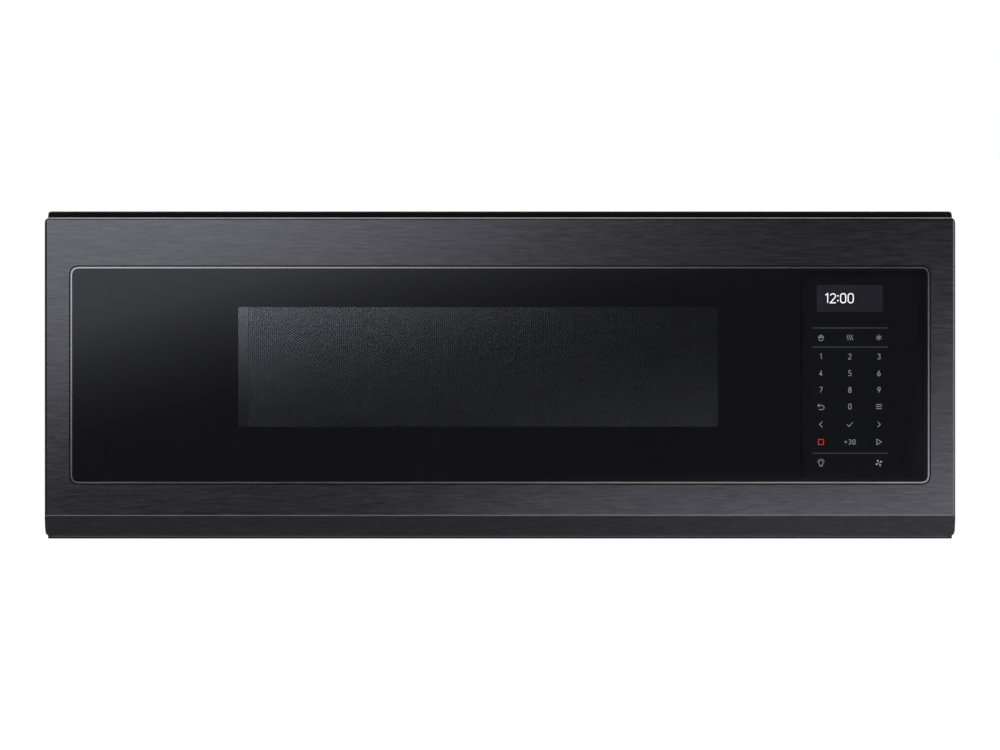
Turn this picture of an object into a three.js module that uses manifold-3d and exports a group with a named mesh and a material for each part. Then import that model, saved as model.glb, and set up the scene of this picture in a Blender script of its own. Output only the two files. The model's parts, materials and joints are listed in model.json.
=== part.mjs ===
// Over the range microwave oven with one full-width door leaf.
// Millimetres. +X is right and -Y is towards the cook, +Z is up.
// The origin is the middle of the wall plate's back face.

import * as THREE from 'three';
import { mergeVertices } from 'three/addons/utils/BufferGeometryUtils.js';
import Module from 'manifold-3d';

const wasm = await Module();
wasm.setup();

// ---------------------------------------------------------------- driving dimensions

const seat = 0.3;                 // gap left between pieces that touch
const reach = 50;                 // how far a cutting tool runs past what it cuts

// cabinet
const cabinetWidth = 757;
const cabinetHeight = 274;
const cabinetDepth = 420;
const caseSheet = 1.2;
const caseCorner = 3;
const caseSlots = 8;              // air slots in the right side
const caseSlotPitch = 14;
const caseSlotWidth = 4;
const caseSlotStart = -250;
const caseSlotBottom = 60;
const caseSlotTop = 100;
const caseHole = 5;               // radius
const caseHoleSide = 78.5;        // front holes from the case's sides
const caseHoleFront = -300;
const caseHoleBack = -60;
const frontSheet = 1.2;
const plateRise = 1;              // front plate past the door frame's top; the air grille stands on it
const panFlange = 12;
const backSheet = 1.2;
const backRib = 1.2;
const backRibs = 3;
const backRibWidth = 6;
const backRibPitch = 60;
const backRibMiddle = 13;
const backRibInset = 30;
const backCorner = 2;

// wall plate
const wallPlateMargin = 38.5;     // case's side to the plate's side
const wallPlateHeight = 220;
const wallPlateSheet = 2;
const wallPlateRail = 40;
const wallPlateStrut = 70;
const hookWidth = 60;
const hookSpacing = 420;
const hookReach = 5;
const hookRise = 10;
const wallPlateCorner = 6;
const wallWindowCorner = 8;
const wallScrewHole = 4;          // radius
const wallScrewSide = 50;         // outer screws from the plate's side
const wallScrewInner = 110;       // inner screws from the middle

// door leaf
const doorOverhang = 1;           // door past the case's side
const doorTopGap = 5.8;           // door's top to the case's top
const doorBottomGap = 2.3;        // door's bottom to the case's bottom
const lipHeight = 17.6;           // lower lip that leans back
const doorThickness = 40;
const doorGap = 3;
const doorCorner = 5;
const doorBend = 2;
const skinSheet = 1;
const skinReturn = 21;
const lipLean = 16;

// front glass and its bright rim
const glassSide = 23.3;           // glass to the door's side
const glassAbove = 42.7;          // glass to the door's top
const glassBelow = 28.4;          // glass to the lip's crease
const glassThickness = 4;
const glassCorner = 5;
const glassProud = 0.4;
const rimWidth = 1.3;
const rimProud = 0.8;
const rimGroove = 1.2;

// window in the glass
const windowLeftSide = 85.1;      // window to the cavity's left wall
const windowRightSide = 85;
const windowAbove = 28.3;         // window to the cavity's top
const windowBelow = 33.9;         // window to the cavity's floor
const screenSheet = 1;
const screenMargin = 8;
const innerPane = 1.7;

// inner frame, back panel and choke of the door
const frameAbove = 14.5;          // frame past the glass's top
const frameBelow = 16.3;          // frame past the glass's bottom
const frameInset = 3;             // from the door's edge to the frame's edge
const frameCorner = 2;
const framePlate = 4;
const frameWall = 2.5;
const framePad = 6;               // width of the pad that the skin is bonded to
const panelSheet = 1;
const panelFlange = 9;
const chokeWidth = 14;
const chokeDepth = 11;
const coverSheet = 2;
const coverOverlap = 12;          // choke cover past the cavity's mouth
const coverCorner = 6;
const linerWall = 2;

// touch controls
const controlSide = 64.6;         // middle of the controls to the glass's side
const displayWidth = 60;
const displayDrop = 12.5;         // display to the glass's top
const displayHeight = 25.5;
const displayDepth = 9;
const touchWidth = 72;
const touchGap = 4.5;             // touch board to the display
const touchRise = 8.7;            // touch board to the glass's bottom
const boardSheet = 1.6;
const ledge = 3;

// door hinge
const hingeInset = 8;             // axis from the door's left edge
const hingeSetback = 10;          // axis from the door's back
const hingePlate = 3;
const hingePlateWidth = 36;
const hingeStep = 2;              // flange's edge from the plate's edge
const hingeClearance = 1.3;
const hingePin = 2.5;             // radius
const hingePinLength = 10;
const hingeBore = 2.8;            // radius
const hingeBoss = 5;              // radius
const hingeFlange = 24;

// latch
const latchSide = 31.5;           // middle of the latch to the door's side
const latchWidth = 6;
const latchBarDepth = 8;
const latchHeight = 136;
const latchArm = 8;
const latchSetback = 6;           // bar behind the frame's plate
const latchTravel = 4;
const latchNose = 4;
const latchNoseLength = 8;
const latchReach = 18;            // how far the hooks reach past the cabinet's face
const slotSide = 1;               // room beside what passes a slot
const slotEase = 0.5;
const springRadius = 3;
const springWire = 0.6;           // radius
const springCurls = 6;

// oven cavity
const cavityLeftSpace = 75.1;     // cavity to the case's left side
const compartmentWidth = 111.9;   // cavity to the case's right side
const cavityDrop = 18;            // cavity's top under the door frame's top
const cavityRise = 28;            // cavity's floor over the door frame's bottom
const cavityBackSpace = 88.5;     // cavity's back wall to the case's back edge
const cavityWall = 1;
const cavityCorner = 10;
const cavityFlange = 14;
const recessMargin = 45;          // recess in the floor to the tray's edge
const recessDepth = 3;
const recessSides = 24;

// turntable
const trayMargin = 8;             // tray to the cavity's front and back
const trayThickness = 5;
const trayRim = 9;
const trayRimWidth = 8;
const lugInner = 14;
const lugOuter = 21;
const lugWidth = 6;
const lugDepth = 5;
const rollerRadius = 8;
const rollerWidth = 6;
const rollerMargin = 64;          // middle of the rollers to the tray's edge
const rollerBore = 2.3;
const rollerPin = 2;
const rollerPinRoot = 1;
const rollerPinEnd = 2;
const rollerChamfer = 1;
const ringWidth = 4;
const ringHeight = 6;
const ringGap = 2;
const couplerStem = 5;
const couplerHole = 7;
const couplerArm = 22;
const couplerArmWidth = 9;
const couplerHub = 11;
const couplerArmHeight = 7;
const couplerLift = 2;
const couplerTaper = 3;
const couplerStemDrop = 9;        // stem below the cavity's floor
const motorRadius = 24.5;
const motorHeight = 18;
const motorSocket = 12;
const motorEar = 10;
const motorEarWidth = 16;
const motorEarCorner = 4;
const motorEarSheet = 1.5;

// air path
const grilleDepth = 7;
const grilleProud = 2.4;
const grilleFrame = 3;
const slatCount = 3;
const slatThickness = 1.4;
const slatSetback = 0.5;
const slatRibs = 7;
const slatRibSheet = 2;
const slatRibFront = 1.5;
const slatRibBack = 1;
const ductSide = 15;              // duct to the cavity's side
const ductSheet = 1;
const filterPadWidth = 360;
const filterPadDepth = 12;
const filterPleats = 18;
const filterPleatDepth = 4;
const blowerGap = 0.55;           // scrolls to the cavity and to the back panel
const wheelBand = 8;              // from the blades' roots to the wheel's edge
const wheelLength = 100;
const wheelSpacing = 224;         // from middle to middle
const wheelBlades = 16;
const wheelSides = 16;            // flats on its rings
const wheelPlate = 2;
const bladeThickness = 1.2;
const bladeCurl = 5;
const shaftRadius = 4;
const hubRadius = 9;
const hubLength = 16;
const hubSides = 10;
const shaftEnd = 12;              // shaft past the middle of each wheel
const blowerDrop = 13;            // blower's axis under the cavity's top
const scrollGap = 3;              // wheel to the scroll where it starts
const scrollGrowth = 3.8;
const scrollWall = 1.2;
const inletRim = 1;               // inlet past the blades' roots
const scrollClearance = 4;
const outletHeight = 26;
const blowerMotorRadius = 30;
const blowerMotorLength = 66;
const motorNeck = 12;             // radius
const motorNeckLength = 6;
const motorShoulder = 14;         // radius
const motorBell = 10;
const cradleWall = 1.6;
const cradleDepth = 40;
const cradleDrop = 10;
const cradleFoot = 120;
const cradleLap = 2;

// grease filters and cooktop lamps
const greaseWidth = 196;
const greaseSetback = 112.3;      // filters to the case's front
const greaseBackSpace = 117.7;    // filters to the case's back edge
const greaseSide = 213.5;         // middle of a filter to the case's side
const greaseThickness = 8;
const greaseRail = 9;
const greaseBars = 6;
const greaseBarWidth = 5;
const greaseBarHeight = 3;
const greaseSpine = 3;
const greaseSpineHeight = 4;
const greaseGap = 2;
const greasePin = 1.6;
const greasePinEnd = 0.5;
const pullWidth = 24;
const pullHeight = 2;
const lampSide = 178.5;           // middle of a lamp to the case's side
const lampSetback = 50.3;         // middle of a lamp to the case's front
const lensWidth = 84;
const lensDepth = 50;
const lensThickness = 3;
const lensLip = 4;
const reflectorRadius = 23;
const reflectorHeight = 34;
const reflectorWall = 1.2;
const reflectorSkirt = 8;
const bulbRadius = 9;
const bulbSocket = 7;
const bulbTip = 6;
const bulbLength = 18;

// right-hand compartment
const guideDepth = 20;
const guideHeight = 60;
const guideLength = 110;
const guideSetback = 87.3;        // waveguide to the case's front
const guideDrop = 15;             // waveguide's top under the cavity's top
const guideSheet = 1.2;
const feedLength = 70;
const feedHeight = 36;
const feedInset = 20;             // feed behind the waveguide's front
const feedDrop = 10;              // feed under the waveguide's top
const micaMargin = 10;
const micaCorner = 4;
const micaSheet = 1;
const magnetronDepth = 66;
const magnetronInset = 26;        // its axis before the waveguide's back end
const magnetronWidth = 80;
const magnetronHeight = 74;
const magnetronFins = 5;
const finSheet = 1.4;
const finInset = 6;
const finEnd = 10;                // first and last fin from the yoke's ends
const anodeRadius = 20;
const antennaRadius = 7;
const antennaGap = 2;
const antennaEnd = 4;             // antenna's end to the cavity's side of the waveguide
const yokeSheet = 2;
const coreWidth = 84;
const coreDepth = 96;
const coreHeight = 70;
const coreLimb = 16;
const coreGap = 28;               // core to the capacitor
const coilWall = 12;
const coilCorner = 6;
const capacitorLength = 88;
const capacitorRadius = 16;
const capacitorWidth = 52;
const capacitorGap = 14;          // capacitor to the baffle
const terminalSpacing = 20;
const terminalWidth = 6;
const terminalSheet = 2;
const terminalLength = 8;
const baffleSetback = 109.7;      // baffle to the case's back edge
const baffleDrop = 3;             // baffle's top under the cavity's top
const baffleSheet = 1.2;
const fanMargin = 6.95;           // fan's mouth to the compartment's sides
const fanZ = -30;
const fanTipGap = 3;              // blades to the mouth
const fanRim = 2;
const fanShroud = 16;
const fanBlades = 5;
const fanHub = 13;
const fanHubChamfer = 2;
const fanDepth = 14;
const fanInset = 2;
const bladeRootChord = 17;
const bladeTipChord = 24;
const bladeRootPitch = 0.75;      // radians
const bladeTipPitch = 0.42;       // radians
const bladeSweep = 0.25;          // radians
const bladeSheet = 1.6;
const fanMotorRadius = 22;
const fanMotorLength = 30;
const fanMotorBore = 12;
const fanMotorGap = 4;            // motor behind the shroud
const fanCupLength = 8;
const fanShaft = 2.5;
const fanShaftLength = 14;
const strutWidth = 8;
const strutSheet = 2;
const postSheet = 4;
const boardWidth = 56;
const boardHeight = 140;
const boardSetback = 34.3;        // main board to the case's front
const boardStand = 10;
const postRadius = 3;
const postInset = 5;
const relaySize = 16;
const relayPitch = 24;
const relayStart = 20;            // lowest relay over the board's bottom
const relayInset = 8;
const bankDepth = 24;
const bankWidth = 36;
const bankHeight = 32;
const bankInset = 12;
const filterBoardWidth = 70;
const filterBoardDepth = 50;
const filterBoardSide = 53.5;     // middle of the filter board to the case's side
const coilBore = 5;
const coilRadius = 12;
const coilHeight = 14;
const coilOffset = 12;
const filmSize = 16;
const filmHeight = 12;
const filmOffset = 20;
const filterBoardY = -150;
const switchDepth = 16;
const switchHeight = 28;
const switchWidth = 10;
const switchTip = 1.6;
const switchTipWidth = 4;
const bracketSheet = 2;
const bracketGap = 1;             // room between the hook's side and the bracket, past half a switch
const bracketFoot = 14;
const bracketMargin = 20;         // bracket past the latch bar's ends
const bracketDepth = 36;

// cavity lamp and cord gland
const ovenLampY = -150;
const ovenLampDrop = 35;          // lamp's middle under the cavity's top
const ovenLampSize = 36;
const ovenLampDepth = 30;
const ovenLampWall = 2;
const ovenBulbNeck = 7;           // radius
const ovenBulbRadius = 10;
const ovenBulbLength = 25;
const lightHole = 3;
const lightHolePitch = 9;
const glandSide = 78.5;           // gland's axis to the case's side
const glandY = -55;
const glandHole = 13;             // radius
const glandBore = 6;              // radius
const glandLip = 3;
const glandSides = 12;

// ---------------------------------------------------------------- places worked out from them

const caseBack = -(wallPlateSheet + seat);
const caseFront = caseBack - cabinetDepth;
const caseTop = cabinetHeight / 2;
const caseBottom = -caseTop;
const caseSide = cabinetWidth / 2;
const innerSide = caseSide - caseSheet - seat;
const innerTop = caseTop - caseSheet - seat;
const panTop = caseBottom + caseSheet;
const plateBack = caseFront + frontSheet;
const wallPlateWidth = cabinetWidth - 2 * wallPlateMargin;

const doorSide = caseSide + doorOverhang;
const doorTop = caseTop - doorTopGap;
const doorBottom = caseBottom + doorBottomGap;
const doorCrease = doorBottom + lipHeight;
const doorFront = caseFront - doorGap - doorThickness;
const glassWidth = 2 * (doorSide - glassSide);
const glassTop = doorTop - glassAbove;
const glassBottom = doorCrease + glassBelow;
const frameSide = doorSide - frameInset;
const frameTop = glassTop + frameAbove;
const frameBottom = glassBottom - frameBelow;
const panelFront = doorThickness - coverSheet - seat - panelSheet;   // door depths run back from its face
const frameFront = glassThickness - glassProud + seat;
const frameBack = panelFront - seat;
const hingeX = -doorSide + hingeInset;
const hingeY = caseFront - doorGap - hingeSetback;
const latchX = doorSide - latchSide;
const latchSpacing = latchHeight - 2 * latchArm;
const controlX = glassWidth / 2 - controlSide;
const displayTop = glassTop - displayDrop;
const displayBottom = displayTop - displayHeight;
const touchTop = displayBottom - touchGap;
const touchBottom = glassBottom + touchRise;

const cavityLeft = -caseSide + cavityLeftSpace;
const cavityRight = caseSide - compartmentWidth;
const cavityX = (cavityLeft + cavityRight) / 2;
const cavityTop = frameTop - cavityDrop;
const cavityFloor = frameBottom + cavityRise;
const cavityFront = plateBack + seat;
const cavityBack = caseBack - cavityBackSpace;
const windowLeft = cavityLeft + windowLeftSide;
const windowRight = cavityRight - windowRightSide;
const windowTop = cavityTop - windowAbove;
const windowBottom = cavityFloor + windowBelow;

const turntableY = (cavityFront + cavityBack) / 2;
const trayRadius = (cavityBack - cavityFront) / 2 - trayMargin;
const rollerCircle = trayRadius - rollerMargin;      // radius at the middle of the rollers
const recessRadius = trayRadius - recessMargin;
const recessFloor = cavityFloor - recessDepth;
const rollerZ = recessFloor + seat + rollerRadius;
const trayBottom = rollerZ + rollerRadius + seat;

const frontPlateTop = frameTop + plateRise;
const grilleBottom = frontPlateTop + hingePlate + 2 * seat;
const grilleBack = caseFront - grilleProud + grilleDepth;
const ductFloor = cavityTop + cavityWall + seat;
const blowerFront = cavityBack + cavityWall;
const blowerBack = caseBack - backSheet - backRib;
const blowerY = (blowerFront + blowerBack) / 2;
const blowerAxisZ = cavityTop - blowerDrop;
const scrollEnd = (blowerBack - blowerFront) / 2 - blowerGap - scrollWall;
const scrollStart = scrollEnd - scrollGrowth;
const wheelRadius = scrollStart - scrollGap;
const wheelInner = wheelRadius - wheelBand;

const greaseZ = caseBottom + greaseThickness / 2;
const greaseFront = caseFront + greaseSetback;
const greaseBack = caseBack - greaseBackSpace;
const greaseDepth = greaseBack - greaseFront;
const greaseMiddleY = (greaseFront + greaseBack) / 2;
const greasePivotY = greaseBack - greaseRail / 2;
const lampY = caseFront + lampSetback;
const greasePlaces = [greaseSide - caseSide, caseSide - greaseSide];
const lampPlaces = [lampSide - caseSide, caseSide - lampSide];

const compartmentLeft = cavityRight + cavityWall + seat;
const compartmentRight = innerSide - caseSheet;
const compartmentX = (compartmentLeft + compartmentRight) / 2;
const guideFront = caseFront + guideSetback;
const guideTop = cavityTop - guideDrop;
const feedFront = guideFront + feedInset;
const feedTop = guideTop - feedDrop;
const magnetronY = guideFront + guideLength - magnetronInset;
const magnetronZ = guideTop - guideHeight / 2;
const baffleY = caseBack - baffleSetback;
const capacitorY = baffleY - capacitorGap - capacitorLength / 2;
const coreY = capacitorY - capacitorLength / 2 - coreGap - coreDepth / 2;
const fanOrifice = (compartmentRight - compartmentLeft) / 2 - fanMargin;
const fanRadius = fanOrifice - fanTipGap;
const bracketX = latchX + (latchWidth + switchWidth) / 2 + bracketGap;
const ovenLampZ = cavityTop - ovenLampDrop;
const glandX = caseSide - glandSide;

// ---------------------------------------------------------------- shapes and solids

/** A shape through [u, v] corners, each rounded by its own third value or by the radius given. */
function outline(corners, radius = 0) {
  const shape = new THREE.Shape();
  corners.forEach((corner, i) => {
    const here = new THREE.Vector2(corner[0], corner[1]);
    const before = new THREE.Vector2(...corners.at(i - 1).slice(0, 2));
    const after = new THREE.Vector2(...corners[(i + 1) % corners.length].slice(0, 2));
    const r = corner[2] ?? radius;
    const enter = here.clone().add(before.sub(here).setLength(r));
    const leave = here.clone().add(after.sub(here).setLength(r));
    if (i === 0) shape.moveTo(enter.x, enter.y);
    else shape.lineTo(enter.x, enter.y);
    if (r > 0) shape.quadraticCurveTo(here.x, here.y, leave.x, leave.y);
  });
  shape.closePath();
  return shape;
}

function rectangle(u0, u1, v0, v1, radius = 0) {
  return outline([[u0, v0], [u1, v0], [u1, v1], [u0, v1]], radius);
}

/** A circle drawn with an even number of equal sides. */
function circle(u, v, radius, sides = 12) {
  return new THREE.Shape(Array.from({ length: sides }, (_, i) => {
    const angle = (2 * Math.PI * i) / sides;
    return new THREE.Vector2(u + radius * Math.cos(angle), v + radius * Math.sin(angle));
  }));
}

/** Moves each edge of a closed ring of corners inwards by the distance. */
function inset(corners, distance) {
  const area = corners.reduce((sum, [u, v], i) => {
    const [u2, v2] = corners[(i + 1) % corners.length];
    return sum + u * v2 - u2 * v;
  }, 0);
  const side = Math.sign(area);
  const normal = (a, b) => new THREE.Vector2(a[1] - b[1], b[0] - a[0]).setLength(side);
  return corners.map((corner, i) => {
    const n1 = normal(corners.at(i - 1), corner);
    const n2 = normal(corner, corners[(i + 1) % corners.length]);
    const scale = distance / (1 + n1.dot(n2));
    return [corner[0] + (n1.x + n2.x) * scale, corner[1] + (n1.y + n2.y) * scale];
  });
}

function alongX(shape, x0, x1, curveSegments = 3) {
  const geometry = new THREE.ExtrudeGeometry(shape, { depth: x1 - x0, bevelEnabled: false, curveSegments });
  const turn = new THREE.Matrix4().makeBasis(
    new THREE.Vector3(0, 1, 0), new THREE.Vector3(0, 0, 1), new THREE.Vector3(1, 0, 0));
  return geometry.applyMatrix4(turn).translate(x0, 0, 0);
}

function alongY(shape, y0, y1, curveSegments = 3) {
  const geometry = new THREE.ExtrudeGeometry(shape, { depth: y1 - y0, bevelEnabled: false, curveSegments });
  return geometry.rotateX(Math.PI / 2).translate(0, y1, 0);
}

function alongZ(shape, z0, z1, curveSegments = 3) {
  const geometry = new THREE.ExtrudeGeometry(shape, { depth: z1 - z0, bevelEnabled: false, curveSegments });
  return geometry.translate(0, 0, z0);
}

function block(x0, x1, y0, y1, z0, z1) {
  return solid(alongZ(rectangle(x0, x1, y0, y1), z0, z1));
}

/** A closed profile of [radius, height] corners turned about +Z. */
function revolve(profile, segments) {
  const points = [...profile, profile[0]].map(([r, h]) => new THREE.Vector2(r, h));
  return new THREE.LatheGeometry(points, segments).rotateX(Math.PI / 2);
}

function rod(radius, length, segments = 12) {
  return revolve([[0, 0], [radius, 0], [radius, length], [0, length]], segments);
}

function solid(geometry) {
  const bare = geometry.index ? geometry.toNonIndexed() : geometry.clone();
  bare.deleteAttribute('normal');
  bare.deleteAttribute('uv');
  const welded = mergeVertices(bare, 1e-4);
  const place = new THREE.Vector3();
  const corners = [];
  let volume = 0;
  for (let i = 0; i < welded.index.count; i += 3) {
    const [a, b, c] = [0, 1, 2].map((k) => welded.index.getX(i + k));
    if (a === b || b === c || c === a) continue;
    corners.push(a, b, c);
    const [p, q, r] = [a, b, c].map((k) => place.fromBufferAttribute(welded.attributes.position, k).clone());
    volume += p.dot(q.cross(r));
  }
  if (volume < 0) corners.reverse();
  const vertProperties = Float32Array.from(welded.attributes.position.array);
  const triVerts = Uint32Array.from(corners);
  return new wasm.Manifold(new wasm.Mesh({ numProp: 3, vertProperties, triVerts }));
}

const join = (first, ...others) => others.reduce((all, other) => all.add(other), first);
const cut = (first, ...tools) => tools.reduce((rest, tool) => rest.subtract(tool), first);

/** Copies of a geometry turned about +Z in equal steps, joined into one solid. */
function aroundZ(geometry, count, start = 0) {
  const copies = Array.from({ length: count }, (_, i) =>
    solid(geometry.clone().rotateZ(start + (2 * Math.PI * i) / count)));
  return join(...copies);
}

function part(name, shape, material) {
  const { vertProperties, triVerts } = shape.getMesh();
  const geometry = new THREE.BufferGeometry();
  geometry.setAttribute('position', new THREE.BufferAttribute(vertProperties, 3));
  geometry.setIndex(new THREE.BufferAttribute(triVerts, 1));
  geometry.computeVertexNormals();
  const mesh = new THREE.Mesh(geometry, material);
  mesh.name = name;
  return mesh;
}

function placed(mesh, x, y, z) {
  mesh.position.set(x, y, z);
  return mesh;
}

const finish = (color, metalness, roughness, more = {}) =>
  new THREE.MeshStandardMaterial({ color, metalness, roughness, ...more });

const blackSteel = finish(0x3a393e, 0.9, 0.38);
const brightRim = finish(0xb8b8bc, 1, 0.2);
const blackGlass = finish(0x111113, 0, 0.05);
const blackPaint = finish(0x1b1b1d, 0.2, 0.5);
const zincSteel = finish(0x9fa3a6, 0.8, 0.45);
const enamel = finish(0x8e9093, 0.1, 0.4);
const blackPlastic = finish(0x1a1a1c, 0, 0.55);
const clearGlass = finish(0xcfdad8, 0, 0.05, { transparent: true, opacity: 0.5 });
const aluminium = finish(0xb9bcc0, 0.9, 0.4);
const springSteel = finish(0x8a8d90, 1, 0.3);
const paleNylon = finish(0xd9d6cc, 0, 0.5);
const boardGreen = finish(0x1f5a3a, 0, 0.5);
const ironCore = finish(0x55504a, 0.6, 0.6);
const copper = finish(0xa5562c, 0.8, 0.4);
const charcoal = finish(0x222222, 0, 0.95);
const micaFinish = finish(0xb9a98a, 0, 0.6);
const rubber = finish(0x161616, 0, 0.85);
const bulbGlass = finish(0xe9e6da, 0, 0.2);

// ---------------------------------------------------------------- door leaf

/** The skin's section: top return, face, leaning lip and its short return. */
const skinSection = [
  [skinReturn, doorTop], [0, doorTop], [0, doorCrease], [lipLean, doorBottom], [skinReturn, doorBottom],
];

/** What lies inside the skin when each face is moved in by the depth; open at the back. */
function skinBlock(depth, back) {
  const section = inset(skinSection, depth);
  section[0][0] = back;
  section[4][0] = back;
  const bend = Math.max(doorBend - depth, 0);
  const corner = Math.max(doorCorner - depth, 0);
  const radii = [0, bend, bend / 2, bend / 2, 0];
  const side = doorSide - depth;
  const fold = rectangle(-side, side, depth, back + reach, bend);
  const face = rectangle(-side, side, doorBottom + depth, doorTop - depth, corner);
  return solid(alongX(outline(section.map((point, i) => [...point, radii[i]])), -side, side))
    .intersect(solid(alongZ(fold, doorBottom, doorTop)))
    .intersect(solid(alongY(face, 0, back)));
}

function glassOutline(grow) {
  const side = glassWidth / 2 + grow;
  return rectangle(-side, side, glassBottom - grow, glassTop + grow, glassCorner + grow);
}

function doorSkin() {
  const opening = solid(alongY(glassOutline(seat + rimWidth + rimGroove), -reach, skinReturn + reach));
  const inside = skinBlock(skinSheet, skinReturn + reach);
  return part('door_skin', cut(skinBlock(0, skinReturn), inside, opening), blackSteel);
}

function glassRim() {
  const outer = solid(alongY(glassOutline(seat + rimWidth), -rimProud, frameFront - seat));
  const inner = solid(alongY(glassOutline(seat), -reach, reach));
  return part('glass_rim', cut(outer, inner), brightRim);
}

function doorGlass() {
  const sheet = alongY(glassOutline(0), -glassProud, glassThickness - glassProud);
  return part('door_glass', solid(sheet), blackGlass);
}

const windowCorner = 2;
const paneCorner = 4;
const windowOutline = (grow, radius = windowCorner) => rectangle(
  windowLeft - grow, windowRight + grow, windowBottom - grow, windowTop + grow, radius);

const controlLeft = controlX - touchWidth / 2;
const controlRight = controlX + touchWidth / 2;

/** The moulded frame behind the glass: plate, outer wall, bonding pad, pockets and hinge bosses. */
function doorInnerFrame() {
  const [side, low, high] = [frameSide - frameWall, frameBottom + frameWall, frameTop - frameWall];
  const outside = rectangle(-frameSide, frameSide, frameBottom, frameTop, frameCorner);
  const plate = solid(alongY(outside, frameFront, frameBack));
  const hollow = block(-side, side, frameFront + framePlate, frameBack + reach, low, high);
  const padShape = rectangle(-side, side, low, high, frameCorner);
  padShape.holes.push(glassOutline(seat + rimWidth + rimGroove + framePad / 2));
  const pad = solid(alongY(padShape, skinSheet + seat, frameFront + seat));
  const axisDepth = doorThickness - hingeSetback;
  const bossDepth = hingePinLength + 2 * hingeClearance;
  const boss = (z) => solid(rod(hingeBoss, bossDepth).translate(hingeX, axisDepth, z));
  const bore = (z) => solid(rod(hingeBore, bossDepth).translate(hingeX, axisDepth, z));
  const guide = (x) => block(x - frameWall / 2, x + frameWall / 2, frameFront + framePlate - seat,
    latchDepth - latchBarDepth / 2 - seat, -latchHeight / 2, latchHeight / 2);
  const guideOffset = (latchWidth - frameWall) / 2;
  const body = join(cut(plate, hollow), pad, boss(frameTop - bossDepth), boss(frameBottom),
    guide(latchX - guideOffset), guide(latchX + guideOffset));
  const seatBack = frameFront + screenSheet + 2 * seat;
  const screenSeat = solid(alongY(windowOutline(screenMargin + seat), -reach, seatBack));
  const windowHole = solid(alongY(windowOutline(0), -reach, reach));
  const displayHole = block(controlX - displayWidth / 2 - seat, controlX + displayWidth / 2 + seat,
    frameFront - seat, reach, displayBottom - seat, displayTop + seat);
  const touchSeat = block(controlLeft - seat, controlRight + seat,
    frameFront - seat, frameFront + boardSheet + 2 * seat, touchBottom - seat, touchTop + seat);
  const touchHole = block(controlLeft + ledge, controlRight - ledge,
    frameFront - seat, reach, touchBottom + ledge, touchTop - ledge);
  return part('door_inner_frame', cut(body, screenSeat, windowHole, displayHole, touchSeat, touchHole,
    bore(frameTop - bossDepth), bore(frameBottom)), blackPlastic);
}

function windowScreen() {
  const start = frameFront + seat;
  const sheet = alongY(windowOutline(screenMargin), start, start + screenSheet);
  return part('window_screen', solid(sheet), zincSteel);
}

/** The display block stands in its hole and its flange rests behind the frame's plate. */
function displayModule() {
  const x0 = controlX - displayWidth / 2;
  const body = block(x0, x0 + displayWidth, frameFront + seat, frameFront + displayDepth,
    displayBottom, displayTop);
  const back = frameFront + framePlate + seat;
  const flange = block(x0 - ledge, x0 + displayWidth + ledge, back, back + boardSheet,
    displayBottom - ledge, displayTop + ledge);
  return part('display_module', join(body, flange), blackPlastic);
}

// chips and the plug on the touch board: place from its middle, size and height
const touchChips = [[-14, 37, 16, 3], [16, 41, 9, 2], [0, -13, 12, 3], [18, -38, 10, 8]];

function touchBoard() {
  const start = frameFront + seat;
  const board = block(controlLeft, controlRight, start, start + boardSheet, touchBottom, touchTop);
  const middle = (touchBottom + touchTop) / 2;
  const chips = touchChips.map(([dx, dz, size, height]) => {
    const [x, z, half] = [controlX + dx, middle + dz, size / 2];
    const [y0, y1] = [start + boardSheet - seat, start + boardSheet + height];
    return block(x - half, x + half, y0, y1, z - half, z + half);
  });
  return part('touch_board', join(board, ...chips), boardGreen);
}

const latchDepth = frameFront + framePlate + latchBarDepth / 2 + latchSetback;
const armHeights = [-latchSpacing / 2, latchSpacing / 2];

/** Slots that the hooks pass through, with room for the latch's travel. */
function latchSlots(y0, y1, side) {
  const half = latchWidth / 2 + side;
  return armHeights.map((z) => block(latchX - half, latchX + half, y0, y1,
    z - latchArm / 2 - slotEase, z + latchArm / 2 + latchTravel + slotEase));
}

/** The steel panel behind the frame, with its flanges and the folded choke round the cavity's mouth. */
function doorPanel() {
  const side = frameSide - frameWall - seat;
  const low = frameBottom + frameWall + seat;
  const high = frameTop - frameWall - seat;
  const left = hingeX + hingeBoss + seat;
  const sheet = block(left, side, panelFront, panelFront + panelSheet, low, high);
  const tray = cut(block(left, side, panelFront - panelFlange, panelFront + panelSheet, low, high),
    block(left + panelSheet, side - panelSheet, panelFront - reach, panelFront,
      low + panelSheet, high - panelSheet));
  const mouth = (grow) => rectangle(
    cavityLeft - grow, cavityRight + grow, cavityFloor - grow, cavityTop + grow, paneCorner);
  const channel = cut(solid(alongY(mouth(panelSheet), panelFront - chokeDepth, panelFront + panelSheet)),
    solid(alongY(mouth(-chokeWidth), -reach, reach)));
  const groove = cut(solid(alongY(mouth(0), panelFront - chokeDepth + panelSheet, doorThickness)),
    solid(alongY(mouth(panelSheet - chokeWidth), -reach, 2 * reach)));
  const windowHole = solid(alongY(windowOutline(screenMargin), -reach, 2 * reach));
  return part('door_panel', cut(join(sheet, tray, channel), groove, windowHole,
    ...latchSlots(-reach, 2 * reach, slotSide)), blackPaint);
}

const coverRight = cavityRight + coverOverlap;

/** The black cover over the choke, with the pane's seat in its middle. */
function chokeCover() {
  const plate = rectangle(cavityLeft - coverOverlap, coverRight, cavityFloor - coverOverlap,
    cavityTop + coverOverlap, coverCorner);
  plate.holes.push(windowOutline(screenMargin, paneCorner));
  return part('choke_cover', solid(alongY(plate, doorThickness - coverSheet, doorThickness)), blackPlastic);
}

function innerWindow() {
  const pane = windowOutline(screenMargin - seat, paneCorner);
  const front = doorThickness - coverSheet;
  return part('inner_window', solid(alongY(pane, front, front + innerPane)), clearGlass);
}

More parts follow.
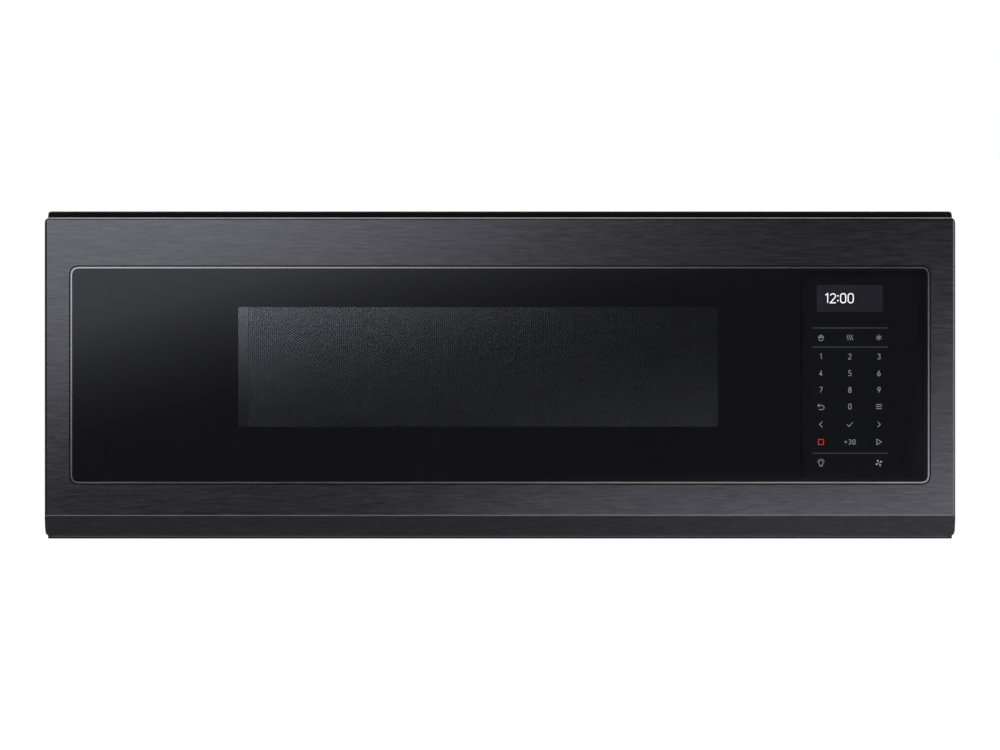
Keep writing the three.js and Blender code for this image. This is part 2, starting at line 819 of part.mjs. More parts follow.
/** The cover behind the touch controls, slotted for the hooks. */
function controlCover() {
  const plate = rectangle(coverRight + 2 * seat, frameSide - frameWall, frameBottom + frameWall,
    frameTop - frameWall, coverCorner / 2);
  return part('control_cover', cut(solid(alongY(plate, doorThickness - coverSheet, doorThickness)),
    ...latchSlots(-reach, 2 * reach, slotSide)), blackPlastic);
}

/** The liner of the hand pocket: it hangs below the frame and follows the lip inside. */
function pocketLiner() {
  const outside = inset(skinSection, skinSheet + seat);
  const inside = inset(skinSection, skinSheet + seat + linerWall);
  const top = frameBottom - seat;
  const tip = 0.8;                 // how far down the lip the liner goes
  const along = (a, b, t) => [a[0] + (b[0] - a[0]) * t, a[1] + (b[1] - a[1]) * t];
  const section = [
    [skinReturn, top], [outside[2][0], top], outside[2], along(outside[2], outside[3], tip),
    along(inside[2], inside[3], tip), inside[2], [inside[2][0], top - linerWall],
    [skinReturn, top - linerWall],
  ];
  const side = doorSide - doorCorner;
  return part('pocket_liner', solid(alongX(outline(section), -side, side)), blackPlastic);
}

/** A bar in the door with two hooks that drop behind the cabinet's face. */
function latchHooks() {
  const half = latchWidth / 2;
  const bar = block(-half, half, -latchBarDepth / 2, latchBarDepth / 2, -latchHeight / 2, latchHeight / 2);
  const end = doorThickness + doorGap + latchReach - latchDepth;
  const hooks = armHeights.map((z) => solid(alongX(outline([
    [0, z + latchArm / 2], [0, z - latchArm / 2], [end - latchNoseLength, z - latchArm / 2],
    [end - latchNoseLength, z - latchArm / 2 - latchNose],
    [end - latchNose / 2, z - latchArm / 2 - latchNose], [end, z], [end, z + latchArm / 2],
  ]), -half, half)));
  return placed(part('latch_hooks', join(bar, ...hooks), blackPlastic), latchX, latchDepth, 0);
}

/** An unbroken coil from the latch bar up to the frame's top wall. */
function latchSpring() {
  const bottom = latchHeight / 2 + seat;
  const top = frameTop - frameWall - seat;
  const length = top - bottom - 2 * springWire;
  const steps = 8;
  const sides = 4;
  const rings = springCurls * steps;
  const positions = [];
  for (let i = 0; i <= rings; i += 1) {
    const angle = (2 * Math.PI * i) / steps;
    const height = springWire + (length * i) / rings;
    for (let k = 0; k < sides; k += 1) {
      const turn = (2 * Math.PI * k) / sides;
      const radius = springRadius + springWire * Math.cos(turn);
      const rise = springWire * Math.sin(turn);
      positions.push(radius * Math.cos(angle), radius * Math.sin(angle), height + rise);
    }
  }
  const faces = [];
  for (let i = 0; i < rings; i += 1) {
    for (let k = 0; k < sides; k += 1) {
      const [a, b] = [i * sides + k, i * sides + ((k + 1) % sides)];
      faces.push(a, b + sides, b, a, a + sides, b + sides);
    }
  }
  for (let k = 1; k < sides - 1; k += 1) {
    faces.push(0, k, k + 1);
    faces.push(rings * sides, rings * sides + k + 1, rings * sides + k);
  }
  const geometry = new THREE.BufferGeometry();
  geometry.setAttribute('position', new THREE.Float32BufferAttribute(positions, 3));
  geometry.setIndex(faces);
  return placed(part('latch_spring', solid(geometry), springSteel), latchX, latchDepth, bottom);
}

// ---------------------------------------------------------------- cabinet shells

function outerCase() {
  const shell = (grow, bottom, y0, y1) => {
    const [side, top, corner] = [caseSide - grow, caseTop - grow, caseCorner - grow];
    const section = [[-side, bottom], [side, bottom], [side, top, corner], [-side, top, corner]];
    return solid(alongY(outline(section), y0, y1));
  };
  const hole = (x, y, radius, sides) =>
    solid(alongZ(circle(x, y, radius, sides), caseTop - reach, caseTop + reach));
  const slots = Array.from({ length: caseSlots }, (_, i) => {
    const y = caseSlotStart + caseSlotPitch * i;
    return block(caseSide - reach, caseSide + reach, y, y + caseSlotWidth, caseSlotBottom, caseSlotTop);
  });
  const holeX = caseSide - caseHoleSide;
  return part('outer_case', cut(shell(0, caseBottom, caseFront, caseBack),
    shell(caseSheet, caseBottom - reach, caseFront - reach, caseBack + reach),
    hole(-holeX, caseHoleFront, caseHole), hole(holeX, caseHoleFront, caseHole),
    hole(0, caseHoleBack, caseHole), hole(glandX, glandY, glandHole, glandSides), ...slots), blackPaint);
}

/** The room of one grease filter and of the kerb round it. */
function greaseWell(x, margin, z0, z1) {
  const [halfX, halfY] = [greaseWidth / 2 + margin, greaseDepth / 2 + margin];
  return block(x - halfX, x + halfX, greaseMiddleY - halfY, greaseMiddleY + halfY, z0, z1);
}

function basePan() {
  const [front, back] = [cavityFront, caseBack - backSheet - seat];
  const tray = cut(block(-innerSide, innerSide, front, back, caseBottom, panTop + panFlange),
    block(-innerSide + caseSheet, innerSide - caseSheet, front + caseSheet, back - caseSheet,
      panTop, panTop + reach));
  const kerbs = greasePlaces.map((x) => greaseWell(x, greaseGap + caseSheet, caseBottom, panTop + panFlange));
  const wells = greasePlaces.map((x) => greaseWell(x, greaseGap, caseBottom - reach, panTop + reach));
  const lensHoles = lampPlaces.map((x) => block(x - lensWidth / 2 + lensLip, x + lensWidth / 2 - lensLip,
    lampY - lensDepth / 2 + lensLip, lampY + lensDepth / 2 - lensLip, caseBottom - reach, panTop + reach));
  const pivotEnd = greaseWidth / 2 + greaseGap + 2 * caseSheet;
  const pivots = greasePlaces.map((x) => solid(alongX(
    circle(greasePivotY, greaseZ, greasePin + seat, 8), x - pivotEnd, x + pivotEnd)));
  return part('base_pan', cut(join(tray, ...kerbs), ...wells, ...lensHoles, ...pivots), blackPaint);
}

function backPanel() {
  const [front, back] = [caseBack - backSheet, caseBack];
  const outside = rectangle(-innerSide, innerSide, caseBottom, innerTop, backCorner);
  const sheet = solid(alongY(outside, front, back));
  const hookZ = -wallPlateHeight / 2;
  const hookSlots = [-1, 1].map((side) => block(
    side * hookSpacing / 2 - hookWidth / 2 - slotSide, side * hookSpacing / 2 + hookWidth / 2 + slotSide,
    front - reach, back + reach, hookZ - slotSide, hookZ + hookRise + 2 * slotSide));
  const ribSide = innerSide - backRibInset;
  const ribs = Array.from({ length: backRibs }, (_, i) => {
    const z = backRibMiddle + backRibPitch * (i - (backRibs - 1) / 2);
    return block(-ribSide, ribSide, front - backRib, front + seat,
      z - backRibWidth / 2, z + backRibWidth / 2);
  });
  return part('back_panel', join(cut(sheet, ...hookSlots), ...ribs), zincSteel);
}

function frontPlate() {
  const outside = rectangle(-innerSide, innerSide, caseBottom, frontPlateTop);
  const mouth = rectangle(cavityLeft, cavityRight, cavityFloor, cavityTop, cavityCorner);
  const [y0, y1] = [caseFront - reach, plateBack + reach];
  const hingeSlot = block(hingeX - hingeBoss - slotSide, hingeX + hingePlateWidth + 2 * slotSide, y0, y1,
    lowerHingeZ - seat, lowerHingeZ + hingePlate + seat);
  return part('front_plate', cut(solid(alongY(outside, caseFront, plateBack)), solid(alongY(mouth, y0, y1)),
    hingeSlot, ...latchSlots(y0, y1, 2 * slotSide)), blackPaint);
}

function ovenCavity() {
  const tube = (grow, y0, y1) => solid(alongY(rectangle(cavityLeft - grow, cavityRight + grow,
    cavityFloor - grow, cavityTop + grow, cavityCorner + grow), y0, y1));
  const disc = (radius, z0, z1) => solid(alongZ(circle(cavityX, turntableY, radius, recessSides), z0, z1));
  const body = join(tube(cavityWall, cavityFront, cavityBack + cavityWall),
    tube(cavityFlange, cavityFront, cavityFront + cavityWall),
    disc(recessRadius + cavityWall, recessFloor - cavityWall, cavityFloor));
  const recess = disc(recessRadius, recessFloor, cavityFloor + seat);
  const inside = join(tube(0, cavityFront - reach, cavityBack), recess);
  const stemHole = solid(alongZ(circle(cavityX, turntableY, couplerHole), recessFloor - reach, cavityFloor));
  const feed = block(cavityRight - reach, cavityRight + reach, feedFront, feedFront + feedLength,
    feedTop - feedHeight, feedTop);
  const lightHoles = [-1, 0, 1].flatMap((i) => [-1, 0, 1].map((k) => {
    const hole = circle(ovenLampY + i * lightHolePitch, ovenLampZ + k * lightHolePitch, lightHole, 6);
    return solid(alongX(hole, cavityLeft - reach, cavityLeft + reach));
  }));
  return part('oven_cavity', cut(body, inside, stemHole, feed, ...lightHoles), enamel);
}

const upperHingeZ = frameTop + hingeClearance;
const lowerHingeZ = frameBottom - hingeClearance - hingePlate;

/** A flat plate from behind the cabinet's face out to the hinge axis, with its pin. */
function hingeBracket(name, plateZ, pinZ, flangeZ) {
  const [left, right] = [hingeX - hingeBoss, hingeX + hingePlateWidth];
  const back = plateBack + seat;
  const leaf = join(block(left, right, hingeY, back + hingePlate, plateZ, plateZ + hingePlate),
    solid(alongZ(circle(hingeX, hingeY, hingeBoss, 12), plateZ, plateZ + hingePlate)));
  const flange = block(left + hingeStep, right, back, back + hingePlate, flangeZ, flangeZ + hingeFlange);
  const pin = solid(rod(hingePin, hingePinLength + hingeClearance).translate(hingeX, hingeY, pinZ));
  return part(name, join(leaf, flange, pin), zincSteel);
}

function mountingPlate() {
  const [side, half] = [wallPlateWidth / 2, wallPlateHeight / 2];
  const sheet = rectangle(-side, side, -half, half, wallPlateCorner);
  [-1, 1].forEach((hand) => {
    const [a, b] = [hand * wallPlateStrut / 2, hand * (side - wallPlateRail)].sort((p, q) => p - q);
    sheet.holes.push(rectangle(a, b, -half + wallPlateRail, half - wallPlateRail, wallWindowCorner));
  });
  const screwX = [wallScrewSide - side, -wallScrewInner, wallScrewInner, side - wallScrewSide];
  const screwZ = [-half + wallPlateRail / 2, half - wallPlateRail / 2];
  const screwHoles = screwZ.flatMap((z) => screwX.map((x) =>
    solid(alongY(circle(x, z, wallScrewHole, 6), -reach, reach))));
  const hooks = [-1, 1].map((hand) => {
    const [x0, x1] = [hand * hookSpacing / 2 - hookWidth / 2, hand * hookSpacing / 2 + hookWidth / 2];
    const tip = -wallPlateSheet - seat - backSheet - hookReach;
    return join(block(x0, x1, tip, -wallPlateSheet + seat, -half, -half + wallPlateSheet),
      block(x0, x1, tip, tip + wallPlateSheet, -half, -half + hookRise));
  });
  const plate = cut(solid(alongY(sheet, -wallPlateSheet, 0)), ...screwHoles);
  return part('mounting_plate', join(plate, ...hooks), zincSteel);
}

/** A rubber gland in the top of the case: neck, two lips and a bore for the cord. */
function cordGland() {
  const low = -caseSheet - glandLip;
  const neck = glandHole - seat;
  const lip = glandHole + glandLip;
  const crown = seat + glandLip / 3;
  const profile = [[glandBore, low], [lip, low], [lip, -caseSheet - seat], [neck, -caseSheet - seat],
    [neck, seat], [lip, seat], [neck, crown], [glandBore, crown]];
  return placed(part('cord_gland', solid(revolve(profile, glandSides)), rubber), glandX, glandY, caseTop);
}

// ---------------------------------------------------------------- air path

/** The moulded air grille over the door: frame, leaning slats and upright ribs. */
function ventGrille() {
  const front = caseFront - grilleProud;
  const back = grilleBack;
  const height = innerTop - grilleBottom;
  const frame = cut(solid(alongY(outline([[-innerSide, grilleBottom], [innerSide, grilleBottom],
    [innerSide, innerTop, caseCorner], [-innerSide, innerTop, caseCorner]]), front, back)),
    block(-innerSide + grilleFrame, innerSide - grilleFrame, front - reach, back + reach,
      grilleBottom + grilleFrame, innerTop - grilleFrame));
  const pitch = (height - 2 * grilleFrame) / slatCount;
  const slats = Array.from({ length: slatCount }, (_, i) => {
    const z = grilleBottom + grilleFrame + pitch * (i + 0.2);
    return solid(alongX(outline([[front + slatSetback, z], [front + slatSetback, z + slatThickness],
      [back - slatSetback, z + slatThickness + pitch * 0.45], [back - slatSetback, z + pitch * 0.45]]),
    -innerSide + grilleFrame - seat, innerSide - grilleFrame + seat));
  });
  const ribs = Array.from({ length: slatRibs - 1 }, (_, i) => {
    const x = -innerSide + (2 * innerSide * (i + 1)) / slatRibs;
    return block(x - slatRibSheet / 2, x + slatRibSheet / 2, front + slatRibFront, back - slatRibBack,
      grilleBottom + grilleFrame / 2, innerTop - grilleFrame / 2);
  });
  return part('vent_grille', join(frame, ...slats, ...ribs), blackPlastic);
}

/** The pleated charcoal pad that stands at the front of the duct. */
function charcoalFilter() {
  const front = grilleBack + seat;
  const back = front + filterPadDepth;
  const half = filterPadWidth / 2;
  const pitch = filterPadWidth / filterPleats;
  const rear = Array.from({ length: filterPleats }, (_, i) => [
    [half - pitch * i, back], [half - pitch * (i + 0.5), back - filterPleatDepth]]).flat();
  const section = outline([[-half, front], [half, front], ...rear, [-half, back]]);
  const pad = alongZ(section, ductFloor + ductSheet + seat, innerTop - seat);
  return part('charcoal_filter', solid(pad), charcoal);
}

/** A shallow channel over the cavity from the blower to the grille. */
function topDuct() {
  const [x0, x1] = [cavityLeft + ductSide, cavityRight - ductSide];
  const [y0, y1] = [grilleBack + seat, cavityBack + cavityWall];
  const channel = cut(block(x0, x1, y0, y1, ductFloor, innerTop),
    block(x0 + ductSheet, x1 - ductSheet, y0 - reach, y1 + reach, ductFloor + ductSheet, innerTop + reach));
  return part('top_duct', channel, zincSteel);
}

const wheelPlaces = [-wheelSpacing / 2, wheelSpacing / 2];

/** One scroll: a spiral chamber with inlets at both ends and a mouth into the duct. */
function scroll(x, wall) {
  const half = wheelLength / 2 + scrollClearance + wall;
  const steps = 16;
  const spiral = Array.from({ length: steps }, (_, i) => {
    const angle = (-2 * Math.PI * i) / steps - Math.PI / 2;
    const radius = scrollStart + ((scrollEnd - scrollStart) * i) / (steps - 1) + wall;
    return [blowerY + radius * Math.cos(angle), blowerAxisZ + radius * Math.sin(angle)];
  });
  const chamber = solid(alongX(outline(spiral), x - half, x + half));
  const top = ductFloor + ductSheet + seat + outletHeight;
  const mouthEnd = cavityBack + cavityWall + seat - (wall ? 0 : reach);
  const low = top - outletHeight + scrollWall;
  const mouth = block(x - half, x + half, mouthEnd, blowerY, low - wall, top - scrollWall + wall);
  return join(chamber, mouth);
}

/** Both scrolls on one bracket, with the cradle that carries the motor between them. */
function blowerHousing() {
  const inlet = circle(blowerY, blowerAxisZ, wheelInner + inletRim, 16);
  const shells = wheelPlaces.map((x) => cut(scroll(x, scrollWall), scroll(x, 0),
    solid(alongX(inlet, x - wheelLength, x + wheelLength))));
  const gap = wheelSpacing / 2 - wheelLength / 2 - scrollClearance - scrollWall;
  const low = blowerAxisZ - blowerMotorRadius - seat - cradleWall;
  const back = blowerY + cradleDepth / 2;
  const cradle = cut(block(-gap - cradleLap / 4, gap + cradleLap / 4, blowerY - cradleDepth / 2, back,
    low, blowerAxisZ - cradleDrop),
  solid(alongX(circle(blowerY, blowerAxisZ, blowerMotorRadius + seat, 16), -gap - reach, gap + reach)));
  const foot = block(-cradleFoot / 2, cradleFoot / 2, back - cradleLap, blowerBack - seat,
    low, low + cradleWall);
  return part('blower_housing', join(...shells, cradle, foot), zincSteel);
}

function blowerMotor() {
  const [r, half] = [blowerMotorRadius, blowerMotorLength / 2];
  const bore = shaftRadius + seat;
  const profile = [[bore, -half], [motorNeck, -half], [motorShoulder, -half + motorNeckLength],
    [r, -half + motorBell], [r, half - motorBell], [motorShoulder, half - motorNeckLength],
    [motorNeck, half], [bore, half]];
  const motor = revolve(profile, 16).rotateY(Math.PI / 2);
  return placed(part('blower_motor', solid(motor), zincSteel), 0, blowerY, blowerAxisZ);
}

/** A squirrel-cage wheel: forward-curved blades between two rings, on a middle disc and hub. */
function blowerWheel(name, x) {
  const half = wheelLength / 2;
  const [root, tip] = [wheelInner + seat, wheelRadius * Math.cos(Math.PI / wheelSides) - bladeThickness];
  const blade = outline([
    [root, 0], [tip, -bladeCurl], [tip, bladeThickness - bladeCurl], [root, bladeThickness]]);
  const end = half - wheelPlate / 2;
  const blades = aroundZ(alongZ(blade, -end, end), wheelBlades);
  const band = (inner, outer, z, thickness, sides) => solid(revolve(
    [[inner, z], [outer, z], [outer, z + thickness], [inner, z + thickness]], sides));
  const bore = shaftRadius + seat;
  const hub = band(bore, hubRadius, -hubLength / 2, hubLength, hubSides);
  const disc = band((bore + hubRadius) / 2, wheelRadius - wheelPlate, -wheelPlate / 2, wheelPlate,
    wheelSides);
  const wheel = part(name, join(blades, band(wheelInner, wheelRadius, -half, wheelPlate, wheelSides),
    band(wheelInner, wheelRadius, half - wheelPlate, wheelPlate, wheelSides), disc, hub), aluminium);
  wheel.rotation.y = Math.PI / 2;
  return placed(wheel, x, blowerY, blowerAxisZ);
}

function blowerShaft() {
  const length = wheelSpacing + 2 * shaftEnd;
  const shaft = part('blower_shaft', solid(rod(shaftRadius, length)), springSteel);
  shaft.rotation.y = Math.PI / 2;
  return placed(shaft, -length / 2, blowerY, blowerAxisZ);
}

// ---------------------------------------------------------------- underside

/** An aluminium grease filter that hangs on two pins at its back edge. */
function greaseFilter(name, x) {
  const [halfX, halfY, halfZ] = [greaseWidth / 2, greaseDepth / 2, greaseThickness / 2];
  const [innerX, innerY] = [halfX - greaseRail, halfY - greaseRail];
  const frame = cut(block(-halfX, halfX, -halfY, halfY, -halfZ, halfZ),
    block(-innerX, innerX, -innerY, innerY, -reach, reach));
  const pitch = (2 * innerY) / (greaseBars + 1);
  const [lap, barZ] = [seat, greaseBarHeight / 2];
  const bars = Array.from({ length: greaseBars }, (_, i) => {
    const y = -innerY + pitch * (i + 1);
    return block(-innerX - lap, innerX + lap, y - greaseBarWidth / 2, y + greaseBarWidth / 2, -barZ, barZ);
  });
  const spine = block(-greaseSpine / 2, greaseSpine / 2, -innerY - lap, innerY + lap,
    -greaseSpineHeight / 2, greaseSpineHeight / 2);
  const pinEnd = halfX + greaseGap + caseSheet + greasePinEnd;
  const pins = [[-pinEnd, -halfX + lap], [halfX - lap, pinEnd]].map(([x0, x1]) =>
    solid(alongX(circle(greasePivotY - greaseMiddleY, 0, greasePin, 8), x0, x1)));
  const pull = block(-pullWidth / 2, pullWidth / 2, -halfY - greaseGap / 2, -halfY + lap,
    -halfZ, pullHeight - halfZ);
  const filter = part(name, join(frame, ...bars, spine, ...pins, pull), aluminium);
  return placed(filter, x, greaseMiddleY, greaseZ);
}

function lampLens(name, x) {
  const [halfX, halfY] = [lensWidth / 2, lensDepth / 2];
  const [innerX, innerY] = [halfX - lensLip - seat, halfY - lensLip - seat];
  const flange = block(-halfX, halfX, -halfY, halfY, seat, seat + lensThickness);
  const dropped = block(-innerX, innerX, -innerY, innerY, -caseSheet, 2 * seat);
  return placed(part(name, join(flange, dropped), clearGlass), x, lampY, panTop);
}

/** A bulb in its holder under a dished reflector that stands on the lens. */
function cooktopLamp(name, x) {
  const [r, h, w] = [reflectorRadius, reflectorHeight, reflectorWall];
  const dish = solid(revolve([[r - w, 0], [r, 0], [r, reflectorSkirt], [bulbSocket + w, h], [0, h],
    [0, h - w], [bulbSocket, h - w], [r - w, reflectorSkirt]], 14));
  const along = (share) => bulbTip + bulbLength * share;
  const bulb = solid(revolve([[0, along(0)], [bulbRadius / 2, along(0.1)], [bulbRadius, along(0.45)],
    [bulbSocket, along(0.8)], [bulbSocket, h - w / 2], [0, h - w / 2]], 10));
  return placed(part(name, join(dish, bulb), bulbGlass), x, lampY, panTop + lensThickness + 2 * seat);
}

// ---------------------------------------------------------------- turntable

const atTurntable = (mesh, z = 0) => placed(mesh, cavityX, turntableY, z);

/** The three-armed coupler and the stem that goes down to the motor. */
function turntableCoupler() {
  const top = trayBottom - seat;
  const bottom = recessFloor - cavityWall - couplerStemDrop;
  const low = recessFloor + couplerLift;
  const arm = rectangle(0, couplerArm, -couplerArmWidth / 2, couplerArmWidth / 2);
  const hub = revolve([[0, bottom], [couplerStem, bottom], [couplerStem, low],
    [couplerHub, low + couplerTaper], [couplerHub, top], [0, top]], 16);
  const arms = aroundZ(alongZ(arm, top - couplerArmHeight, top), 3);
  return atTurntable(part('turntable_coupler', join(solid(hub), arms), paleNylon));
}

/** The glass tray, with the lugs that the coupler's arms turn it by. */
function glassTray() {
  const [r, t, eighth] = [trayRadius, trayThickness, trayRimWidth / 8];
  const plate = solid(revolve([[0, 0], [r - 12 * eighth, 0], [r - 2 * eighth, trayRim - 3 * eighth],
    [r, trayRim], [r - 3 * eighth, trayRim + 2 * eighth], [r - 8 * eighth, trayRim - eighth],
    [r - 14 * eighth, t], [0, t]], 32));
  const lug = alongZ(rectangle(lugInner, lugOuter, -lugWidth / 2, lugWidth / 2), -lugDepth, seat);
  return atTurntable(part('glass_tray', join(plate, aroundZ(lug, 3, Math.PI / 3)), clearGlass), trayBottom);
}

/** The ring that carries the three rollers on radial pins. */
function rollerRing() {
  const outer = rollerCircle - rollerWidth / 2 - ringGap;
  const ring = revolve([[outer - ringWidth, -ringHeight / 2], [outer, -ringHeight / 2],
    [outer, ringHeight / 2], [outer - ringWidth, ringHeight / 2]], 24);
  const pinLength = rollerPinRoot + ringGap + rollerWidth + rollerPinEnd;
  const pin = rod(rollerPin, pinLength, 8).rotateY(Math.PI / 2).translate(outer - rollerPinRoot, 0, 0);
  return atTurntable(part('roller_ring', join(solid(ring), aroundZ(pin, 3)), paleNylon), rollerZ);
}

function rollerWheel(index) {
  const [r, w, edge] = [rollerRadius, rollerWidth / 2, rollerChamfer];
  const tyre = revolve([[rollerBore, -w], [r - edge, -w], [r, edge - w], [r, w - edge], [r - edge, w],
    [rollerBore, w]], 14);
  const wheel = part(`roller_wheel_${index + 1}`, solid(tyre.rotateY(Math.PI / 2)), paleNylon);
  const angle = (2 * Math.PI * index) / 3;
  wheel.rotation.z = angle;
  const [x, y] = [rollerCircle * Math.cos(angle), rollerCircle * Math.sin(angle)];
  return placed(wheel, cavityX + x, turntableY + y, rollerZ);
}

/** The flat motor under the floor, with its socket and two ears. */
function turntableMotor() {
  const [bore, earSide] = [couplerStem + seat, motorRadius + motorEar];
  const can = solid(revolve([[0, -motorHeight], [motorRadius, -motorHeight], [motorRadius, 0], [bore, 0],
    [bore, -motorSocket], [0, -motorSocket]], 16));
  const earShape = rectangle(-earSide, earSide, -motorEarWidth / 2, motorEarWidth / 2, motorEarCorner);
  const ears = solid(alongZ(earShape, -motorEarSheet, 0));
  const socket = solid(rod(bore, 2 * motorEarSheet, 16).translate(0, 0, -motorEarSheet - seat));
  const motor = part('turntable_motor', join(can, cut(ears, socket)), zincSteel);
  return atTurntable(motor, recessFloor - cavityWall - seat);
}

// ---------------------------------------------------------------- right-hand compartment

function waveguide() {
  const [x0, x1] = [compartmentLeft, compartmentLeft + guideDepth];
  const [y0, y1] = [guideFront, guideFront + guideLength];
  const [z0, z1] = [guideTop - guideHeight, guideTop];
  const inside = block(x0 - reach, x1 - guideSheet, y0 + guideSheet, y1 - guideSheet,
    z0 + guideSheet, z1 - guideSheet);
  const port = solid(alongX(circle(magnetronY, magnetronZ, antennaRadius + antennaGap), x0, x1 + reach));
  return part('waveguide', cut(block(x0, x1, y0, y1, z0, z1), inside, port), zincSteel);
}

/** The mica sheet inside the cavity over the waveguide's mouth. */
function waveguideCover() {
  const sheet = rectangle(feedFront - micaMargin, feedFront + feedLength + micaMargin,
    feedTop - feedHeight - micaMargin, feedTop + micaMargin, micaCorner);
  const x1 = cavityRight - seat;
  return part('waveguide_cover', solid(alongX(sheet, x1 - micaSheet, x1)), micaFinish);
}

/** Anode, cooling fins, yoke and the antenna that reaches into the waveguide. */
function magnetron() {
  const x0 = compartmentLeft + guideDepth + seat;
  const [y, z] = [magnetronY, magnetronZ];
  const [halfY, halfZ] = [magnetronWidth / 2, magnetronHeight / 2];
  const x1 = x0 + magnetronDepth;
  const yoke = cut(block(x0, x1, y - halfY, y + halfY, z - halfZ, z + halfZ),
    block(x0 + yokeSheet, x1 - yokeSheet, y - reach, y + reach,
      z - halfZ + yokeSheet, z + halfZ - yokeSheet));
  const anode = solid(alongX(circle(y, z, anodeRadius), x0, x1));
  const antennaX = compartmentLeft + antennaEnd + seat;
  const antenna = solid(alongX(circle(y, z, antennaRadius, 8), antennaX, x0 + seat));
  const pitch = (magnetronDepth - 2 * finEnd) / (magnetronFins - 1);
  const finZ = halfZ - yokeSheet + seat;
  const fins = Array.from({ length: magnetronFins }, (_, i) => {
    const x = x0 + finEnd + pitch * i;
    return block(x - finSheet / 2, x + finSheet / 2, y - halfY + finInset, y + halfY - finInset,
      z - finZ, z + finZ);
  });
  return part('magnetron', join(yoke, anode, antenna, ...fins), aluminium);
}

/** The laminated core: an outer frame and a middle limb, on two feet. */
function transformerCore() {
  const [halfX, halfY] = [coreWidth / 2, coreDepth / 2];
  const low = panTop + seat;
  const windowWidth = (coreDepth - 4 * coreLimb) / 2;
  const length = halfX - coilWall;
  const windows = [-1, 1].map((side) => {
    const middle = side * (coreLimb + windowWidth / 2);
    return block(-reach, reach, middle - windowWidth / 2, middle + windowWidth / 2,
      low + coreLimb, low + coreHeight - coreLimb);
  });
  const core = cut(block(-length, length, -halfY, halfY, low, low + coreHeight), ...windows);
  return placed(part('transformer_core', core, ironCore), compartmentX, coreY, 0);
}

/** The windings: a rounded ring round the middle limb. */
function transformerWindings() {
  const low = panTop + seat + coreLimb + seat;
  const high = panTop + seat + coreHeight - coreLimb - seat;
  const innerX = coreWidth / 2 - coilWall + seat;
  const innerY = coreLimb + seat;
  const grow = (coreDepth - 4 * coreLimb) / 2 - 2 * seat;
  const ring = rectangle(-innerX - grow, innerX + grow, -innerY - grow, innerY + grow, coilCorner);
  ring.holes.push(rectangle(-innerX, innerX, -innerY, innerY, 1));
  return placed(part('transformer_windings', solid(alongZ(ring, low, high)), copper), compartmentX, coreY, 0);
}

/** An oval can on the pan, with two terminals. */
function capacitor() {
  const [halfX, r] = [capacitorWidth / 2, capacitorRadius];
  const can = new THREE.Shape();
  can.absarc(halfX - r, r, r, -Math.PI / 2, Math.PI / 2, false);
  can.absarc(-halfX + r, r, r, Math.PI / 2, 1.5 * Math.PI, false);
  const half = capacitorLength / 2;
  const body = solid(alongY(can, -half, half, 6));
  const terminals = [-terminalSpacing / 2, terminalSpacing / 2].map((x) => block(
    x - terminalWidth / 2, x + terminalWidth / 2, -half - terminalLength, seat - half,
    r - terminalSheet / 2, r + terminalSheet / 2));
  const whole = part('high_voltage_capacitor', join(body, ...terminals), aluminium);
  return placed(whole, compartmentX, capacitorY, panTop + seat);
}

const fanMotorStart = fanShroud + fanMotorGap;       // behind the baffle

/** The partition with the fan's round mouth and the struts that carry its motor. */
function fanBaffle() {
  const [x0, x1] = [compartmentLeft + slotSide, compartmentRight - 2 * seat];
  const sheet = block(x0, x1, baffleY, baffleY + baffleSheet, panTop + seat, cavityTop - baffleDrop);
  const tube = (radius, y0, y1) =>
    solid(alongY(circle(compartmentX, fanZ, radius, 16), baffleY + y0, baffleY + y1));
  const shroud = tube(fanOrifice + fanRim, 0, fanShroud);
  const cup = tube(fanMotorRadius + seat + fanRim, fanMotorStart, fanMotorStart + fanCupLength);
  const well = tube(fanMotorRadius + seat, -reach, reach);
  const strutLength = fanOrifice + fanRim - fanMotorRadius;
  const leg = new THREE.BoxGeometry(strutLength, strutSheet, strutWidth)
    .translate(fanMotorRadius + strutLength / 2, fanMotorStart + strutSheet / 2, 0);
  const postLength = fanMotorGap + strutSheet + seat;
  const post = new THREE.BoxGeometry(postSheet, postLength, strutWidth)
    .translate(fanOrifice + fanRim - postSheet / 2, fanMotorStart + strutSheet - postLength / 2, 0);
  const struts = [0, 1, 2, 3].flatMap((i) => [leg, post].map((piece) => solid(piece.clone()
    .rotateY((Math.PI * (2 * i + 1)) / 4).translate(compartmentX, baffleY, fanZ))));
  return part('fan_baffle', join(cut(join(sheet, shroud), tube(fanOrifice, -reach, reach)),
    cut(join(cup, ...struts), well)), zincSteel);
}

function coolingFanMotor() {
  const bore = fanShaft + seat;
  const can = revolve([[bore, 0], [fanMotorRadius, 0], [fanMotorRadius, -fanMotorLength],
    [0, -fanMotorLength], [0, -fanMotorBore], [bore, -fanMotorBore]], 16).rotateX(Math.PI / 2);
  const motor = part('cooling_fan_motor', solid(can), zincSteel);
  return placed(motor, compartmentX, baffleY + fanMotorStart + seat, fanZ);
}

/** The axial fan: a hub on its shaft with twisted, swept blades. */
function coolingFan() {
  const hub = solid(revolve([[0, 0], [fanHub, 0], [fanHub, fanDepth - fanHubChamfer],
    [fanHub - fanHubChamfer, fanDepth], [0, fanDepth]], 16));
  const shaft = solid(rod(fanShaft, fanShaftLength + seat, 8).translate(0, 0, -fanShaftLength));
  const turned = join(hub, aroundZ(twistedBlade(), fanBlades), shaft);
  const fan = part('cooling_fan_blade', turned, paleNylon);
  fan.rotation.x = Math.PI / 2;
  return placed(fan, compartmentX, baffleY + fanShroud - fanInset, fanZ);
}

